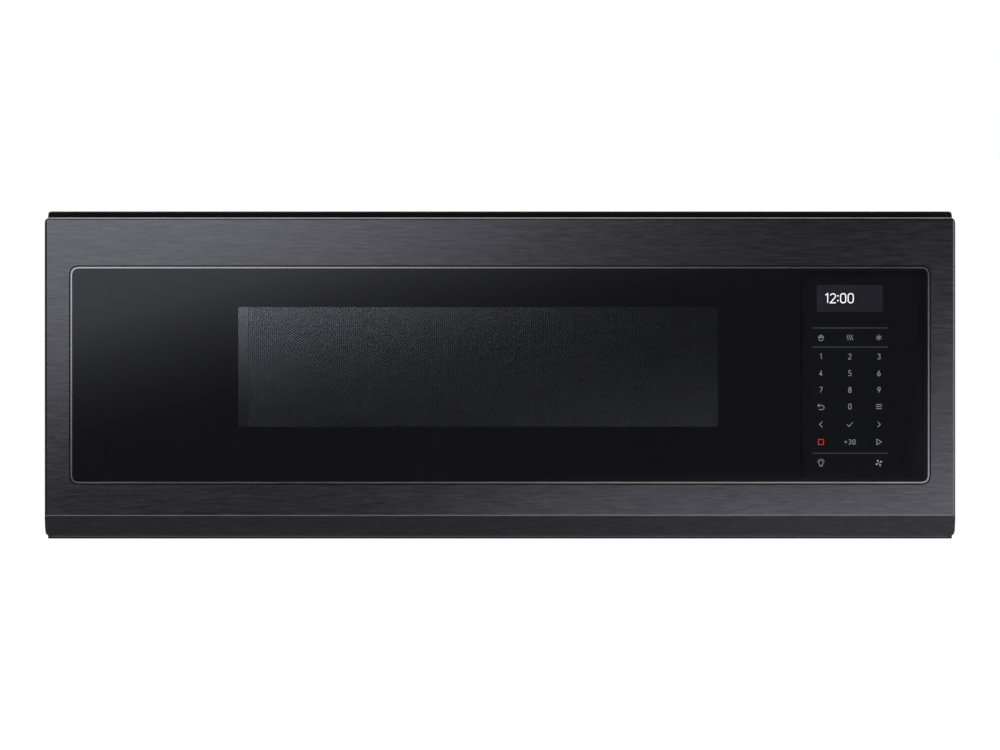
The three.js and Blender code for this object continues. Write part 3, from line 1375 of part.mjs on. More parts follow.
/** A blade lofted from a steep narrow root to a flat wide tip; all its sections are thin slabs. */
function twistedBlade() {
  const stations = 3;
  const positions = [];
  const between = (root, tip, t) => root + (tip - root) * t;
  for (let i = 0; i <= stations; i += 1) {
    const t = i / stations;
    const radius = between(fanHub - bladeSheet, fanRadius, t);
    const chord = between(bladeRootChord, bladeTipChord, t);
    const pitch = between(bladeRootPitch, bladeTipPitch, t);
    for (const [along, up] of [[-0.5, -0.5], [0.5, -0.5], [0.5, 0.5], [-0.5, 0.5]]) {
      const flat = chord * along * Math.cos(pitch) - bladeSheet * up * Math.sin(pitch);
      const rise = chord * along * Math.sin(pitch) + bladeSheet * up * Math.cos(pitch);
      const angle = flat / radius + bladeSweep * t * t;
      positions.push(radius * Math.cos(angle), radius * Math.sin(angle), fanDepth / 2 + rise);
    }
  }
  const faces = [];
  for (let i = 0; i < stations; i += 1) {
    for (let k = 0; k < 4; k += 1) {
      const [a, b] = [i * 4 + k, i * 4 + ((k + 1) % 4)];
      faces.push(a, b, b + 4, a, b + 4, a + 4);
    }
  }
  const last = stations * 4;
  faces.push(0, 2, 1, 0, 3, 2, last, last + 1, last + 2, last, last + 2, last + 3);
  const geometry = new THREE.BufferGeometry();
  geometry.setAttribute('position', new THREE.Float32BufferAttribute(positions, 3));
  geometry.setIndex(faces);
  return geometry;
}

/** The relay board on its four posts against the case's right side. */
function mainBoard() {
  const x1 = caseSide - caseSheet - seat;
  const face = x1 - boardStand;
  const [y0, y1, half] = [caseFront + boardSetback, caseFront + boardSetback + boardWidth, boardHeight / 2];
  const on = (depth, width, inset, z0, z1) => block(face - boardSheet - depth, face - boardSheet + seat,
    y0 + inset, y0 + inset + width, z0, z1);
  const board = block(face - boardSheet, face, y0, y1, -half, half);
  const posts = [y0 + postInset, y1 - postInset].flatMap((y) => [-1, 1].map((hand) =>
    solid(alongX(circle(y, hand * (half - postInset), postRadius, 8), face - seat, x1))));
  const relays = [0, 1, 2].map((i) => {
    const z = relayStart + relayPitch * i - half;
    return on(relaySize, relaySize, relayInset, z, z + relaySize);
  });
  const bank = on(bankDepth, bankWidth, bankInset, half - bankInset - bankHeight, half - bankInset);
  return part('main_board', join(board, ...posts, ...relays, bank), boardGreen);
}

/** The mains filter board, hung on four posts under the top of the case. */
function noiseFilterBoard() {
  const [halfX, halfY] = [filterBoardWidth / 2, filterBoardDepth / 2];
  const face = innerTop - boardStand;
  const low = face - boardSheet;
  const board = block(-halfX, halfX, -halfY, halfY, low, face);
  const posts = [-1, 1].flatMap((i) => [-1, 1].map((k) => solid(alongZ(
    circle(i * (halfX - postInset), k * (halfY - postInset), postRadius, 8), face - seat, innerTop))));
  const coil = solid(revolve([[coilBore, -coilHeight], [coilRadius, -coilHeight], [coilRadius, seat],
    [coilBore, seat]], 12).translate(-coilOffset, 0, low));
  const film = block(filmOffset - filmSize / 2, filmOffset + filmSize / 2, -filmSize / 2, filmSize / 2,
    low - filmHeight, low + seat);
  const whole = part('noise_filter_board', join(board, ...posts, coil, film), boardGreen);
  return placed(whole, caseSide - filterBoardSide, filterBoardY, 0);
}

/** An upright plate behind the cabinet's face that carries the switches. */
function interlockBracket() {
  const half = latchHeight / 2 + bracketMargin;
  const flap = (width, depth) => block(bracketX, bracketX + width,
    cavityFront, cavityFront + depth, -half, half);
  const folded = join(flap(bracketSheet, bracketDepth), flap(bracketFoot, bracketSheet));
  return part('interlock_bracket', folded, zincSteel);
}

/** A micro-switch with its tip towards the hook; the row is counted from the bracket. */
function microSwitch(index, row, z) {
  const face = caseFront + latchReach + seat + switchTip;
  const x1 = bracketX - seat - row * (switchWidth + seat);
  const [x, half] = [x1 - switchWidth / 2, switchTipWidth / 2];
  const body = block(x1 - switchWidth, x1, face, face + switchDepth,
    z - switchHeight / 2, z + switchHeight / 2);
  const tip = block(x - half, x + half, face - switchTip, face + seat, z - half, z + half);
  return part(`micro_switch_${index}`, join(body, tip), blackPlastic);
}

/** The holder beside the cavity's left wall, with its bulb behind the light holes. */
function ovenLamp() {
  const x1 = cavityLeft - cavityWall - seat;
  const x0 = x1 - ovenLampDepth;
  const shell = (margin, start, end) => {
    const half = ovenLampSize / 2 - margin;
    return block(start, end, ovenLampY - half, ovenLampY + half, ovenLampZ - half, ovenLampZ + half);
  };
  const holder = cut(shell(0, x0, x1), shell(ovenLampWall, x0 + ovenLampWall, x1 + reach));
  const [neck, r, length] = [ovenBulbNeck, ovenBulbRadius, ovenBulbLength];
  const bulb = solid(revolve([[0, -seat], [neck, -seat], [neck, length * 0.32], [r, length * 0.56],
    [r * 0.9, length * 0.84], [r * 0.4, length], [0, length]], 12)
    .rotateY(Math.PI / 2).translate(x0 + ovenLampWall, ovenLampY, ovenLampZ));
  return part('oven_lamp', join(holder, bulb), bulbGlass);
}

// ---------------------------------------------------------------- assembly

const door = new THREE.Group();
door.position.y = doorFront;
door.add(doorSkin(), glassRim(), doorGlass(), doorInnerFrame(), windowScreen(), displayModule(), touchBoard(),
  doorPanel(), chokeCover(), innerWindow(), controlCover(), pocketLiner(), latchHooks(), latchSpring());

const [pinTop, flangeTop] = [upperHingeZ - hingePinLength, upperHingeZ + hingePlate - hingeFlange];
const pinBottom = lowerHingeZ + hingePlate - hingeClearance;
const shells = new THREE.Group();
shells.add(mountingPlate(), backPanel(), outerCase(), basePan(), frontPlate(), ovenCavity(), cordGland(),
  hingeBracket('hinge_bracket_upper', upperHingeZ, pinTop, flangeTop),
  hingeBracket('hinge_bracket_lower', lowerHingeZ, pinBottom, lowerHingeZ));

const airPath = new THREE.Group();
airPath.add(ventGrille(), charcoalFilter(), topDuct(), blowerHousing(), blowerMotor(), blowerShaft(),
  blowerWheel('blower_wheel_left', wheelPlaces[0]), blowerWheel('blower_wheel_right', wheelPlaces[1]));

const underside = new THREE.Group();
['left', 'right'].forEach((side, i) => underside.add(
  greaseFilter(`grease_filter_${side}`, greasePlaces[i]),
  lampLens(`lamp_lens_${side}`, lampPlaces[i]),
  cooktopLamp(`cooktop_lamp_${side}`, lampPlaces[i])));

const turntable = new THREE.Group();
turntable.add(turntableMotor(), turntableCoupler(), glassTray(), rollerRing(), ...[0, 1, 2].map(rollerWheel));

const electrics = new THREE.Group();
electrics.add(waveguide(), waveguideCover(), magnetron(), transformerCore(), transformerWindings(),
  capacitor(), fanBaffle(), coolingFanMotor(), coolingFan(), mainBoard(), noiseFilterBoard(), ovenLamp(),
  interlockBracket(), microSwitch(1, 0, armHeights[1]), microSwitch(2, 0, armHeights[0]),
  microSwitch(3, 1, armHeights[0]));

const group = new THREE.Group();
group.add(door, shells, airPath, underside, turntable, electrics);
export default group;
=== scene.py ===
"""Looks for the over the range microwave: materials, printed legends, fasteners, camera and studio."""

import json
import math

import bmesh
import bpy
from mathutils import Matrix, Vector


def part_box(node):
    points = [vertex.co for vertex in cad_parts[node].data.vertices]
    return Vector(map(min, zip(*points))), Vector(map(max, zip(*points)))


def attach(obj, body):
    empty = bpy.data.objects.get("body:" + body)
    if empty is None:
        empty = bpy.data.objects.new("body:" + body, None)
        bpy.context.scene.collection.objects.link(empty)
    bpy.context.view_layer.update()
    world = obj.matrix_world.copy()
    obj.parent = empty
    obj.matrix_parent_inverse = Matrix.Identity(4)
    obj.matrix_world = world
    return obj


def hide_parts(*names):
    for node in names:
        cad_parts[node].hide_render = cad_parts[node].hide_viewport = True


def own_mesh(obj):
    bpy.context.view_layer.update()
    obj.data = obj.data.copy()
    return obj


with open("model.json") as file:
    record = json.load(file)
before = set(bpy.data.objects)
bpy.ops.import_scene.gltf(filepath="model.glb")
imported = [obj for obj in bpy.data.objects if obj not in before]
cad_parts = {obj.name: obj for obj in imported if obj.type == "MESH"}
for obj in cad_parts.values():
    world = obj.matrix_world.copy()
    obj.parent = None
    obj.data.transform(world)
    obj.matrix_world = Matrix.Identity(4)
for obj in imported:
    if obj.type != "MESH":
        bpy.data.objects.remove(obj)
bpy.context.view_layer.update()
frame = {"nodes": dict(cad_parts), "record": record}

NODES = frame["nodes"]
MM = 0.001
MICRON = 0.000001

# ---------------------------------------------------------------- sizes in mm

glass_low, glass_high = (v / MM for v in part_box("door_glass"))
case_low, case_high = (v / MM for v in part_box("outer_case"))

# the clear window and the clear area over the controls: left, right, bottom and top
WINDOW = (-218.3, 181.6, -43.1, 56.7)
CONTROLS = (250.0, 353.5, -86.0, 86.0)
CLEAR_CORNER = 1.6
GLASS_CORNER = 3.4
GLASS_EDGE = 0.35                # width of the glass's own bevel

# the screen's plain strip at the window's left, and the lattice of its holes
PLAIN_STRIP = 8.4
HOLE_COLUMNS = 3.3               # from one column of holes to the next of the same height
HOLE_ROWS = 1.9
HOLE_RADIUS = 0.66
HOLE_EDGE = 0.25                 # width of the rounded edge round a hole

# the printed layers, which lie inside the glass just before its back face
FILM = 0.03                      # a legend's thickness; the black print is three times as thick
PRINT_BACK = glass_high.y - 0.01
PRINT_FRONT = PRINT_BACK - 3 * FILM
PRINT_INSET = 0.6
PRINT_CORNER = 3.2
LEGEND = (PRINT_FRONT - 2 * FILM, PRINT_FRONT - FILM)

# the display and its clock
DISPLAY = (264.0, 319.0, 52.7, 75.0)    # left, right, bottom and top
DISPLAY_CORNER = 1.0
CLOCK_DIGITS = (("1", 272.6), ("2", 277.5), ("0", 286.0), ("0", 292.3))
CLOCK_Z = 64.0
CLOCK_HEIGHT = 8.5
CLOCK_STROKE = 0.85
CLOCK_WIDENING = 1.12
COLON_X = 281.6
COLON_RISE = 2.0
COLON_RADIUS = 0.65

# the touch keys
KEY_COLUMNS = (267.5, 291.6, 315.8)
LEFT, MIDDLE, RIGHT = KEY_COLUMNS
WORD_ROW = 31.2
DIGIT_ROWS = (15.4, 1.5, -12.4)
ZERO_ROW = -26.3
ARROW_ROW = -41.2
START_ROW = -55.8
LAMP_ROW = -73.3
DIGIT_HEIGHT = 4.8
SHORT_DIGIT_HEIGHT = 4.3
DIGIT_PITCH = 0.72               # as a share of the height
SHORT_DIGIT_PITCH = 0.8
STROKE = 0.42
THIN_STROKE = 0.36
RAY_STROKE = 0.34
STOP_STROKE = 0.55
STOP_HALF = 2.1
RULES = (39.2, 23.3, -65.2)
RULE_ENDS = (260.6, 323.3)
RULE_STROKE = 0.5

# the screws: how far in from the case's edges they sit, or where on the case
BURIED = 0.02                    # how far a head starts inside the sheet under it
FRONT_INSET = 14.0
BOTTOM_INSET = 12.0
SIDE_MIDDLE_Y = -215.0
SIDE_BACK_Y = -16.0
SIDE_TOP_Z = 95.0
TOP_XS = (-345.0, 0.0, 345.0)
TOP_Y = -14.0
BACK_X = 362.0
BACK_TOP_X = 180.0
BACK_Z = 124.0
HINGE_XS = (-357.0, -343.0)
HINGE_ZS = (95.0, -97.0)
FRONT_XS = (-240.0, 0.0, 240.0)
FRONT_Z = -124.0
HEAD_RADIUS = 2.8
HEAD_HEIGHT = 0.9
BACK_HEAD_HEIGHT = 1.1

# the latch spring
SPRING_TURNS = 7
SPRING_WIRE = 0.6                # radius of the wire

# the strands over the grease filters
MESH_EDGE = 14.0                 # from a filter's sides to its mesh
MESH_LENGTHENING = 5.0           # how much nearer the mesh comes to the front and back edges
MESH_BOTTOM = -131.9
STRAND_HEIGHT = 0.6
STRAND_WIDTH = 1.1
STRAND_PITCH = 7.0

# how meshes are made
WELD = 1e-5                      # points nearer than this become one
BEVEL_STEPS = 3
BEVEL_ANGLE = 50                 # degrees; flatter edges aren't bevelled
MITRE_LIMIT = 0.4                # keeps a line's sharp corners short


# ---------------------------------------------------------------- materials

class Nodes:
    """A node tree with short ways to add and join its nodes."""

    def __init__(self, tree):
        self.tree = tree
        self.place = None

    def node(self, kind, inputs=(), **settings):
        """Adds a node. Each input is a plain value or the output of another node."""
        node = self.tree.nodes.new(kind)
        for key, value in settings.items():
            setattr(node, key, value)
        for key, value in dict(inputs).items():
            if isinstance(value, bpy.types.NodeSocket):
                self.tree.links.new(value, node.inputs[key])
            else:
                node.inputs[key].default_value = value
        return node

    def math(self, operation, a, b=0.0):
        return self.node("ShaderNodeMath", {0: a, 1: b}, operation=operation).outputs[0]

    def vector(self, operation, *operands, output="Vector"):
        return self.node("ShaderNodeVectorMath", enumerate(operands), operation=operation).outputs[output]

    def scaled(self, scale):
        """The place on the piece, times one number or a number for each axis."""
        if isinstance(scale, float):
            scale = (scale,) * 3
        return self.vector("MULTIPLY", self.place, scale)

    def spread(self, value, low, high, start=0.3, end=0.7, **settings):
        """Low to high, as the value goes from start to end."""
        inputs = {"Value": value, "From Min": start, "From Max": end, "To Min": low, "To Max": high}
        return self.node("ShaderNodeMapRange", inputs, **settings).outputs["Result"]


class Finish(Nodes):
    """A surface's material. Sockets other than colour and roughness go by name, with _ for a space."""

    def __init__(self, name, color, roughness, **sockets):
        self.color = color
        self.roughness = roughness
        self.material = bpy.data.materials.new(name)
        self.material.use_nodes = True
        super().__init__(self.material.node_tree)
        self.shader = self.tree.nodes["Principled BSDF"]
        for socket, value in {"Base_Color": (*color, 1), "Roughness": roughness, **sockets}.items():
            self.shader.inputs[socket.replace("_", " ")].default_value = value
        self.place = self.node("ShaderNodeTexCoord").outputs["Object"]

    def link(self, output, socket):
        self.tree.links.new(output, self.shader.inputs[socket])

    def noise(self, scale, detail=3.0, rough=0.6):
        """Noise with a number of features per metre."""
        inputs = {"Vector": self.scaled(scale), "Scale": 1.0, "Detail": detail, "Roughness": rough}
        return self.node("ShaderNodeTexNoise", inputs).outputs["Fac"]

    def cells(self, scale, output="Distance", feature="F1"):
        """Cells with a number of them per metre."""
        inputs = {"Vector": self.scaled(scale), "Scale": 1.0}
        return self.node("ShaderNodeTexVoronoi", inputs, feature=feature).outputs[output]

    def bands(self, scale, axis, **inputs):
        """Bands across an axis."""
        inputs.update(Vector=self.scaled(scale), Scale=1.0)
        return self.node("ShaderNodeTexWave", inputs, wave_type="BANDS", bands_direction=axis).outputs["Fac"]

    def ramp(self, fac, stops):
        """A colour that goes through stops of a place and a colour."""
        node = self.node("ShaderNodeValToRGB", {"Fac": fac})
        elements = node.color_ramp.elements
        while len(elements) < len(stops):
            elements.new(0.5)
        for element, (place, color) in zip(elements, stops):
            element.position = place
            element.color = (*color, 1)
        return node.outputs["Color"]

    def tint(self, fac, amount, start=0.3, end=0.7):
        """The finish's colour, from darker to lighter by the amount as the factor rises."""
        dark = [c * (1 - amount) for c in self.color]
        light = [min(c * (1 + amount), 1) for c in self.color]
        self.link(self.ramp(fac, [(start, dark), (end, light)]), "Base Color")

    def polish(self, fac, swing):
        """The finish's roughness, from less to more by the swing as the factor rises."""
        self.link(self.spread(fac, self.roughness - swing, self.roughness + swing), "Roughness")

    def bump(self, height, microns):
        inputs = {"Height": height, "Distance": microns * MICRON, "Strength": 1.0}
        self.link(self.node("ShaderNodeBump", inputs).outputs["Normal"], "Normal")


def brushed(name, color, roughness, streak, amount, swing):
    """Metal brushed one way: long fine streaks in colour, gloss and height, and faint broad ones."""
    fine_share, broad_scale = 0.88, 0.45
    g = Finish(name, color, roughness, Metallic=1.0)
    fine = g.noise(streak, detail=4.0, rough=0.75)
    broad = g.noise([s * broad_scale for s in streak], detail=2.0)
    both = g.math("ADD", g.math("MULTIPLY", fine, fine_share), g.math("MULTIPLY", broad, 1 - fine_share))
    g.tint(both, amount, start=0.35, end=0.65)
    g.polish(both, swing)
    g.bump(fine, microns=3)
    return g.material


def coated(name, color, roughness, grain, amount, microns, swing=0.06, **sockets):
    """A coat with a fine grain in gloss and height, and slow changes in shade over the surface."""
    g = Finish(name, color, roughness, **sockets)
    fine = g.noise(grain)
    g.tint(g.noise(14.0, detail=2.0), amount)
    g.polish(fine, swing)
    g.bump(fine, microns)
    return g.material


def sheet_metal(name, color, roughness, spangle, amount):
    """Zinc-coated or rolled sheet: flat crystals with slightly different shades."""
    swing = 0.05
    g = Finish(name, color, roughness, Metallic=1.0)
    shade = g.node("ShaderNodeSeparateColor", {"Color": g.cells(spangle, "Color")}).outputs["Red"]
    fine = g.noise(900.0)
    g.tint(shade, amount, start=0.0, end=1.0)
    by_crystal = g.spread(shade, -swing, swing, start=0.0, end=1.0)
    by_grain = g.spread(fine, roughness - swing, roughness + swing)
    g.link(g.math("ADD", by_crystal, by_grain), "Roughness")
    g.bump(fine, microns=10)
    return g.material


def enamel():
    """Grey oven paint with fine darker speckles and a light orange peel."""
    color, speckle = (0.27, 0.275, 0.285), (0.09, 0.092, 0.097)
    g = Finish("cavity_enamel", color, roughness=0.3)
    g.link(g.ramp(g.cells(520.0), [(0.1, speckle), (0.2, color)]), "Base Color")
    peel = g.noise(160.0, detail=2.0)
    g.link(g.spread(peel, low=0.25, high=0.36), "Roughness")
    g.bump(peel, microns=40)
    return g.material


def clear_glass(name, color, roughness=0.0, lens_cells=0.0, gloss=0.5):
    """Clear or smoked glass, which may have the cells of a lamp's lens. Less gloss reflects less."""
    g = Finish(name, color, roughness, Transmission_Weight=1.0, IOR=1.5, Specular_IOR_Level=gloss)
    g.tint(g.noise(9.0, detail=2.0), amount=0.012)
    if lens_cells:
        g.bump(g.cells(lens_cells), microns=180)
    return g.material


def screen_steel():
    """Black-coated sheet with round holes on a triangular lattice, and a plain strip at its left."""
    g = Finish("screen_steel", (0.182, 0.182, 0.185), roughness=0.127, Metallic=1.0)
    from_top = g.vector("ADD", g.place, (0.0, 0.0, -WINDOW[3] * MM))
    steps = g.vector("MULTIPLY", from_top, (1 / (HOLE_COLUMNS * MM), 0.0, 1 / (HOLE_ROWS * MM)))
    distances = []
    for shift in (0.0, 0.5):
        moved = g.vector("ADD", steps, (shift, 0.0, shift))
        wrapped = g.vector("WRAP", moved, (0.5,) * 3, (-0.5,) * 3)
        in_mm = g.vector("MULTIPLY", wrapped, (HOLE_COLUMNS, 0.0, HOLE_ROWS))
        distances.append(g.vector("LENGTH", in_mm, output="Value"))
    nearest = g.math("MINIMUM", *distances)
    x = g.node("ShaderNodeSeparateXYZ", {0: g.place}).outputs["X"]
    plain = g.math("LESS_THAN", x, (WINDOW[0] + PLAIN_STRIP) * MM)
    g.link(g.math("MAXIMUM", g.math("GREATER_THAN", nearest, HOLE_RADIUS), plain), "Alpha")
    bend = g.spread(nearest, 0.0, 1.0, start=HOLE_RADIUS, end=HOLE_RADIUS + HOLE_EDGE)
    g.bump(g.math("MAXIMUM", bend, plain), microns=14)
    # the plain strip keeps to the dark end of the shades
    darker = g.math("MULTIPLY", plain, 0.5)
    g.tint(g.math("SUBTRACT", g.noise(700.0), darker), amount=0.13)
    return g.material


def windings():
    """Enamelled wire wound in close turns round the core."""
    g = Finish("copper", (0.42, 0.16, 0.06), roughness=0.32, Metallic=0.9)
    turns = g.bands((1.0, 1.0, 220.0), "Z", Distortion=0.6, Detail=1.0)
    g.tint(turns, amount=0.45, start=0.0, end=1.0)
    g.bump(turns, microns=300)
    return g.material


def laminations():
    """A stack of varnished iron sheets."""
    g = Finish("iron_core", (0.055, 0.047, 0.04), roughness=0.42, Metallic=0.4)
    sheets = g.bands((900.0, 1.0, 1.0), "X", Distortion=0.2)
    g.tint(sheets, amount=0.35, start=0.0, end=1.0)
    g.bump(sheets, microns=100)
    return g.material


def circuit_board():
    """Solder mask with copper tracks under it and the weave of the laminate."""
    color, over_copper = (0.012, 0.075, 0.03), (0.03, 0.14, 0.06)
    g = Finish("circuit_board", color, roughness=0.35)
    track = g.cells(95.0, feature="DISTANCE_TO_EDGE")
    g.link(g.ramp(track, [(0.05, over_copper), (0.09, color)]), "Base Color")
    g.bump(g.noise(600.0), microns=30)
    return g.material


def charcoal_grains():
    """Coarse black grains of the charcoal filter."""
    g = Finish("charcoal", (0.012, 0.012, 0.012), roughness=0.95)
    grain = g.cells(420.0)
    g.tint(grain, amount=0.6, start=0.1, end=0.6)
    g.bump(grain, microns=600)
    return g.material


def glow_and_painted_light(name, color, strength):
    """Marks of the controls that give light, a little unevenly, as from lamps behind a diffuser. On the clock
    the light is the display's own. On the printed key marks and rules it is partly backlight and partly
    painted light, standing in for the lamp light that the glass holds back from them.
    """
    dimmest = 0.93
    g = Finish(name, color, roughness=0.6, Emission_Strength=strength)
    light = g.noise(90.0, detail=1.0)
    g.tint(light, amount=0.06)
    g.link(g.ramp(light, [(0.3, [c * dimmest for c in color]), (0.7, color)]), "Emission Color")
    return g.material


MATERIALS = {
    "black_steel": brushed("black_steel", (0.164, 0.16, 0.163), roughness=0.22,
                           streak=(70.0, 70.0, 820.0), amount=0.23, swing=0.03),
    "bright_rim": brushed("bright_rim", (0.54, 0.53, 0.5), roughness=0.2,
                          streak=(40.0, 40.0, 900.0), amount=0.05, swing=0.04),
    "black_glass": coated("black_glass", (0.0225, 0.0225, 0.0255), roughness=0.35,
                          grain=1200.0, amount=0.05, microns=1, Specular_IOR_Level=0.0),
    "clear_glass": clear_glass("clear_glass", (0.93, 0.955, 0.95)),
    "black_paint": coated("black_paint", (0.014, 0.014, 0.015), roughness=0.42,
                          grain=1500.0, amount=0.2, microns=30),
    "cavity_enamel": enamel(),
    "zinc_steel": sheet_metal("zinc_steel", (0.52, 0.53, 0.55), roughness=0.36, spangle=150.0, amount=0.07),
    "aluminium": sheet_metal("aluminium", (0.7, 0.71, 0.73), roughness=0.33, spangle=260.0, amount=0.05),
    "black_plastic": coated("black_plastic", (0.011, 0.011, 0.012), roughness=0.48,
                            grain=2200.0, amount=0.15, microns=20),
    "pale_nylon": coated("pale_nylon", (0.68, 0.65, 0.58), roughness=0.45,
                         grain=900.0, amount=0.05, microns=10, Subsurface_Weight=0.1),
    "circuit_board": circuit_board(),
    "charcoal": charcoal_grains(),
    "mica": coated("mica", (0.47, 0.38, 0.24), roughness=0.4, grain=350.0, amount=0.16, microns=30),
    "rubber": coated("rubber", (0.01, 0.01, 0.01), roughness=0.75, grain=1300.0, amount=0.2, microns=30),
    "spring_steel": brushed("spring_steel", (0.5, 0.5, 0.52), roughness=0.25,
                            streak=(700.0, 700.0, 60.0), amount=0.1, swing=0.05),
    "iron_core": laminations(),
    "copper": windings(),
    "bulb_glass": coated("bulb_glass", (0.8, 0.79, 0.75), roughness=0.22,
                         grain=500.0, amount=0.03, microns=5, Subsurface_Weight=0.15),
}

# finishes of single pieces that differ from their slot's
lens_glass = clear_glass("lens_glass", (0.86, 0.88, 0.88), roughness=0.08, lens_cells=210.0)
OWN_FINISH = {
    # the vent grille: black plastic, given a darker colour and weaker reflection than its slot as painted
    # shade of its recess above the door
    "vent_grille": coated("grille_black_and_painted_shade", (0.004, 0.004, 0.0045), roughness=0.6,
                          grain=2000.0, amount=0.15, microns=10, Specular_IOR_Level=0.2),
    "lamp_lens_left": lens_glass,
    "lamp_lens_right": lens_glass,
    "inner_window": clear_glass("smoked_glass", (0.42, 0.42, 0.43), gloss=0.15),
    "window_screen": screen_steel(),
    "mounting_plate": sheet_metal("plate_steel", (0.36, 0.37, 0.385), roughness=0.42,
                                  spangle=300.0, amount=0.04),
}

for part in frame["record"]["subparts"]:
    for slot in NODES[part["node"]].material_slots:
        slot.material = OWN_FINISH.get(part["node"], MATERIALS[part["material_slot"]])


# ---------------------------------------------------------------- mesh tools

def add_piece(name, bm, material, body):
    """Turns mesh code in mm into a piece in metres that rides on a body."""
    bmesh.ops.remove_doubles(bm, verts=bm.verts, dist=WELD)
    bmesh.ops.recalc_face_normals(bm, faces=bm.faces)
    bmesh.ops.scale(bm, vec=(MM,) * 3, verts=bm.verts)
    mesh = bpy.data.meshes.new(name)
    bm.to_mesh(mesh)
    bm.free()
    piece = bpy.data.objects.new(name, mesh)
    bpy.context.scene.collection.objects.link(piece)
    mesh.materials.append(material)
    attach(piece, body)
    return piece


def bevelled(piece, width):
    """Rounds a piece's sharp edges."""
    modifier = piece.modifiers.new("edges", "BEVEL")
    modifier.width = width * MM
    modifier.segments = BEVEL_STEPS
    modifier.limit_method = "ANGLE"
    modifier.angle_limit = math.radians(BEVEL_ANGLE)


def on_circle(x, z, radius, angle):
    return (x + radius * math.cos(angle), z + radius * math.sin(angle))


def arc(x, z, radius, start, end, steps):
    """Points on an arc between two angles in degrees."""
    angles = [math.radians(start + (end - start) * i / steps) for i in range(steps + 1)]
    return [on_circle(x, z, radius, angle) for angle in angles]


def circle(x, z, radius, steps, start=0):
    """Points round a whole circle, from an angle in degrees."""
    return arc(x, z, radius, start, start + 360, steps)[:-1]


def rounded(x0, x1, z0, z1, radius, steps=6):
    """Outline of a rectangle in the XZ plane with rounded corners."""
    centres = [(x1 - radius, z1 - radius), (x0 + radius, z1 - radius),
               (x0 + radius, z0 + radius), (x1 - radius, z0 + radius)]
    return [on_circle(x, z, radius, math.pi / 2 * (k + i / steps))
            for k, (x, z) in enumerate(centres) for i in range(steps + 1)]


def ring_at(bm, outline, y):
    """An outline's points at a depth."""
    return [bm.verts.new((x, y, z)) for x, z in outline]


def bridge(bm, rings):
    """Faces between each ring of points and the next."""
    for ring, following in zip(rings, rings[1:]):
        for k in range(len(ring)):
            bm.faces.new((ring[k - 1], ring[k], following[k], following[k - 1]))


def closed_form(bm, rings):
    """Faces between rings of points, and over the first and the last ring."""
    bm.faces.new(rings[0])
    bm.faces.new(rings[-1][::-1])
    bridge(bm, rings)


def plate(bm, outline, y0, y1):
    """A flat closed plate between two depths."""
    closed_form(bm, [ring_at(bm, outline, y) for y in (y0, y1)])


def ribbon(bm, points, width, y0, y1, closed=False):
    """A line of even width through points in the XZ plane, as a closed plate."""
    points = [Vector(p) for p in points]
    count = len(points)
    rings = []
    for i, p in enumerate(points):
        ways = []
        if i or closed:
            ways.append((p - points[i - 1]).normalized())
        if i + 1 < count or closed:
            ways.append((points[(i + 1) % count] - p).normalized())
        along = sum(ways, Vector((0, 0))).normalized()
        normal = Vector((-along.y, along.x))
        reach = width / 2 / max(normal.dot(Vector((-ways[0].y, ways[0].x))), MITRE_LIMIT)
        one, other = p + normal * reach, p - normal * reach
        section = ((one, y0), (other, y0), (other, y1), (one, y1))
        rings.append([bm.verts.new((q.x, y, q.y)) for q, y in section])
    if closed:
        bridge(bm, rings + rings[:1])
    else:
        closed_form(bm, rings)


# ---------------------------------------------------------------- front glass

def glass_sheet(bm, outline, clear_areas):
    """A closed sheet. Its clear areas take the piece's second material, and the rest its first."""
    rims = []
    for y in (glass_low.y, glass_high.y):
        edges = []
        for path in (outline, *clear_areas):
            corners = ring_at(bm, path, y)
            edges += [bm.edges.new((corners[i - 1], corners[i])) for i in range(len(corners))]
            if path is outline:
                rims.append(corners)
            else:
                bm.faces.new(corners).material_index = 1
        bmesh.ops.triangle_fill(bm, use_beauty=True, edges=edges)
    bridge(bm, rims)


def make_front_glass():
    """The one sheet of glass in the door's frame, black but for the window and the controls."""
    bm = bmesh.new()
    outline = rounded(glass_low.x, glass_high.x, glass_low.z, glass_high.z, GLASS_CORNER)
    glass_sheet(bm, outline, [rounded(*WINDOW, CLEAR_CORNER), rounded(*CONTROLS, CLEAR_CORNER)])
    printed_glass = coated("printed_glass", (0.0068, 0.0068, 0.0078), roughness=0.02,
                           grain=1200.0, amount=0.05, microns=0.2, swing=0.004)
    front_glass = add_piece("front_glass", bm, printed_glass, "door")
    front_glass.data.materials.append(clear_glass("front_glass", (0.96, 0.965, 0.97)))
    bevelled(front_glass, GLASS_EDGE)
    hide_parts("door_glass")


def make_glass_print():
    """The black print at the back of the glass, which leaves the window clear."""
    bm = bmesh.new()
    outer = rounded(glass_low.x + PRINT_INSET, glass_high.x - PRINT_INSET,
                    glass_low.z + PRINT_INSET, glass_high.z - PRINT_INSET, PRINT_CORNER)
    inner = rounded(*WINDOW, CLEAR_CORNER)
    rings = [ring_at(bm, outer, PRINT_FRONT), ring_at(bm, inner, PRINT_FRONT),
             ring_at(bm, inner, PRINT_BACK), ring_at(bm, outer, PRINT_BACK)]
    bridge(bm, rings + rings[:1])
    add_piece("glass_print", bm, MATERIALS["black_glass"], "door")


make_front_glass()
make_glass_print()
for node, width in {"door_skin": 0.5, "glass_rim": 0.6, "vent_grille": 0.4}.items():
    bevelled(NODES[node], width)


# ---------------------------------------------------------------- display and touch legends

HOOK = [(0.1, 0.5), *arc(0, -0.22, 0.27, 150, 510, 16)]

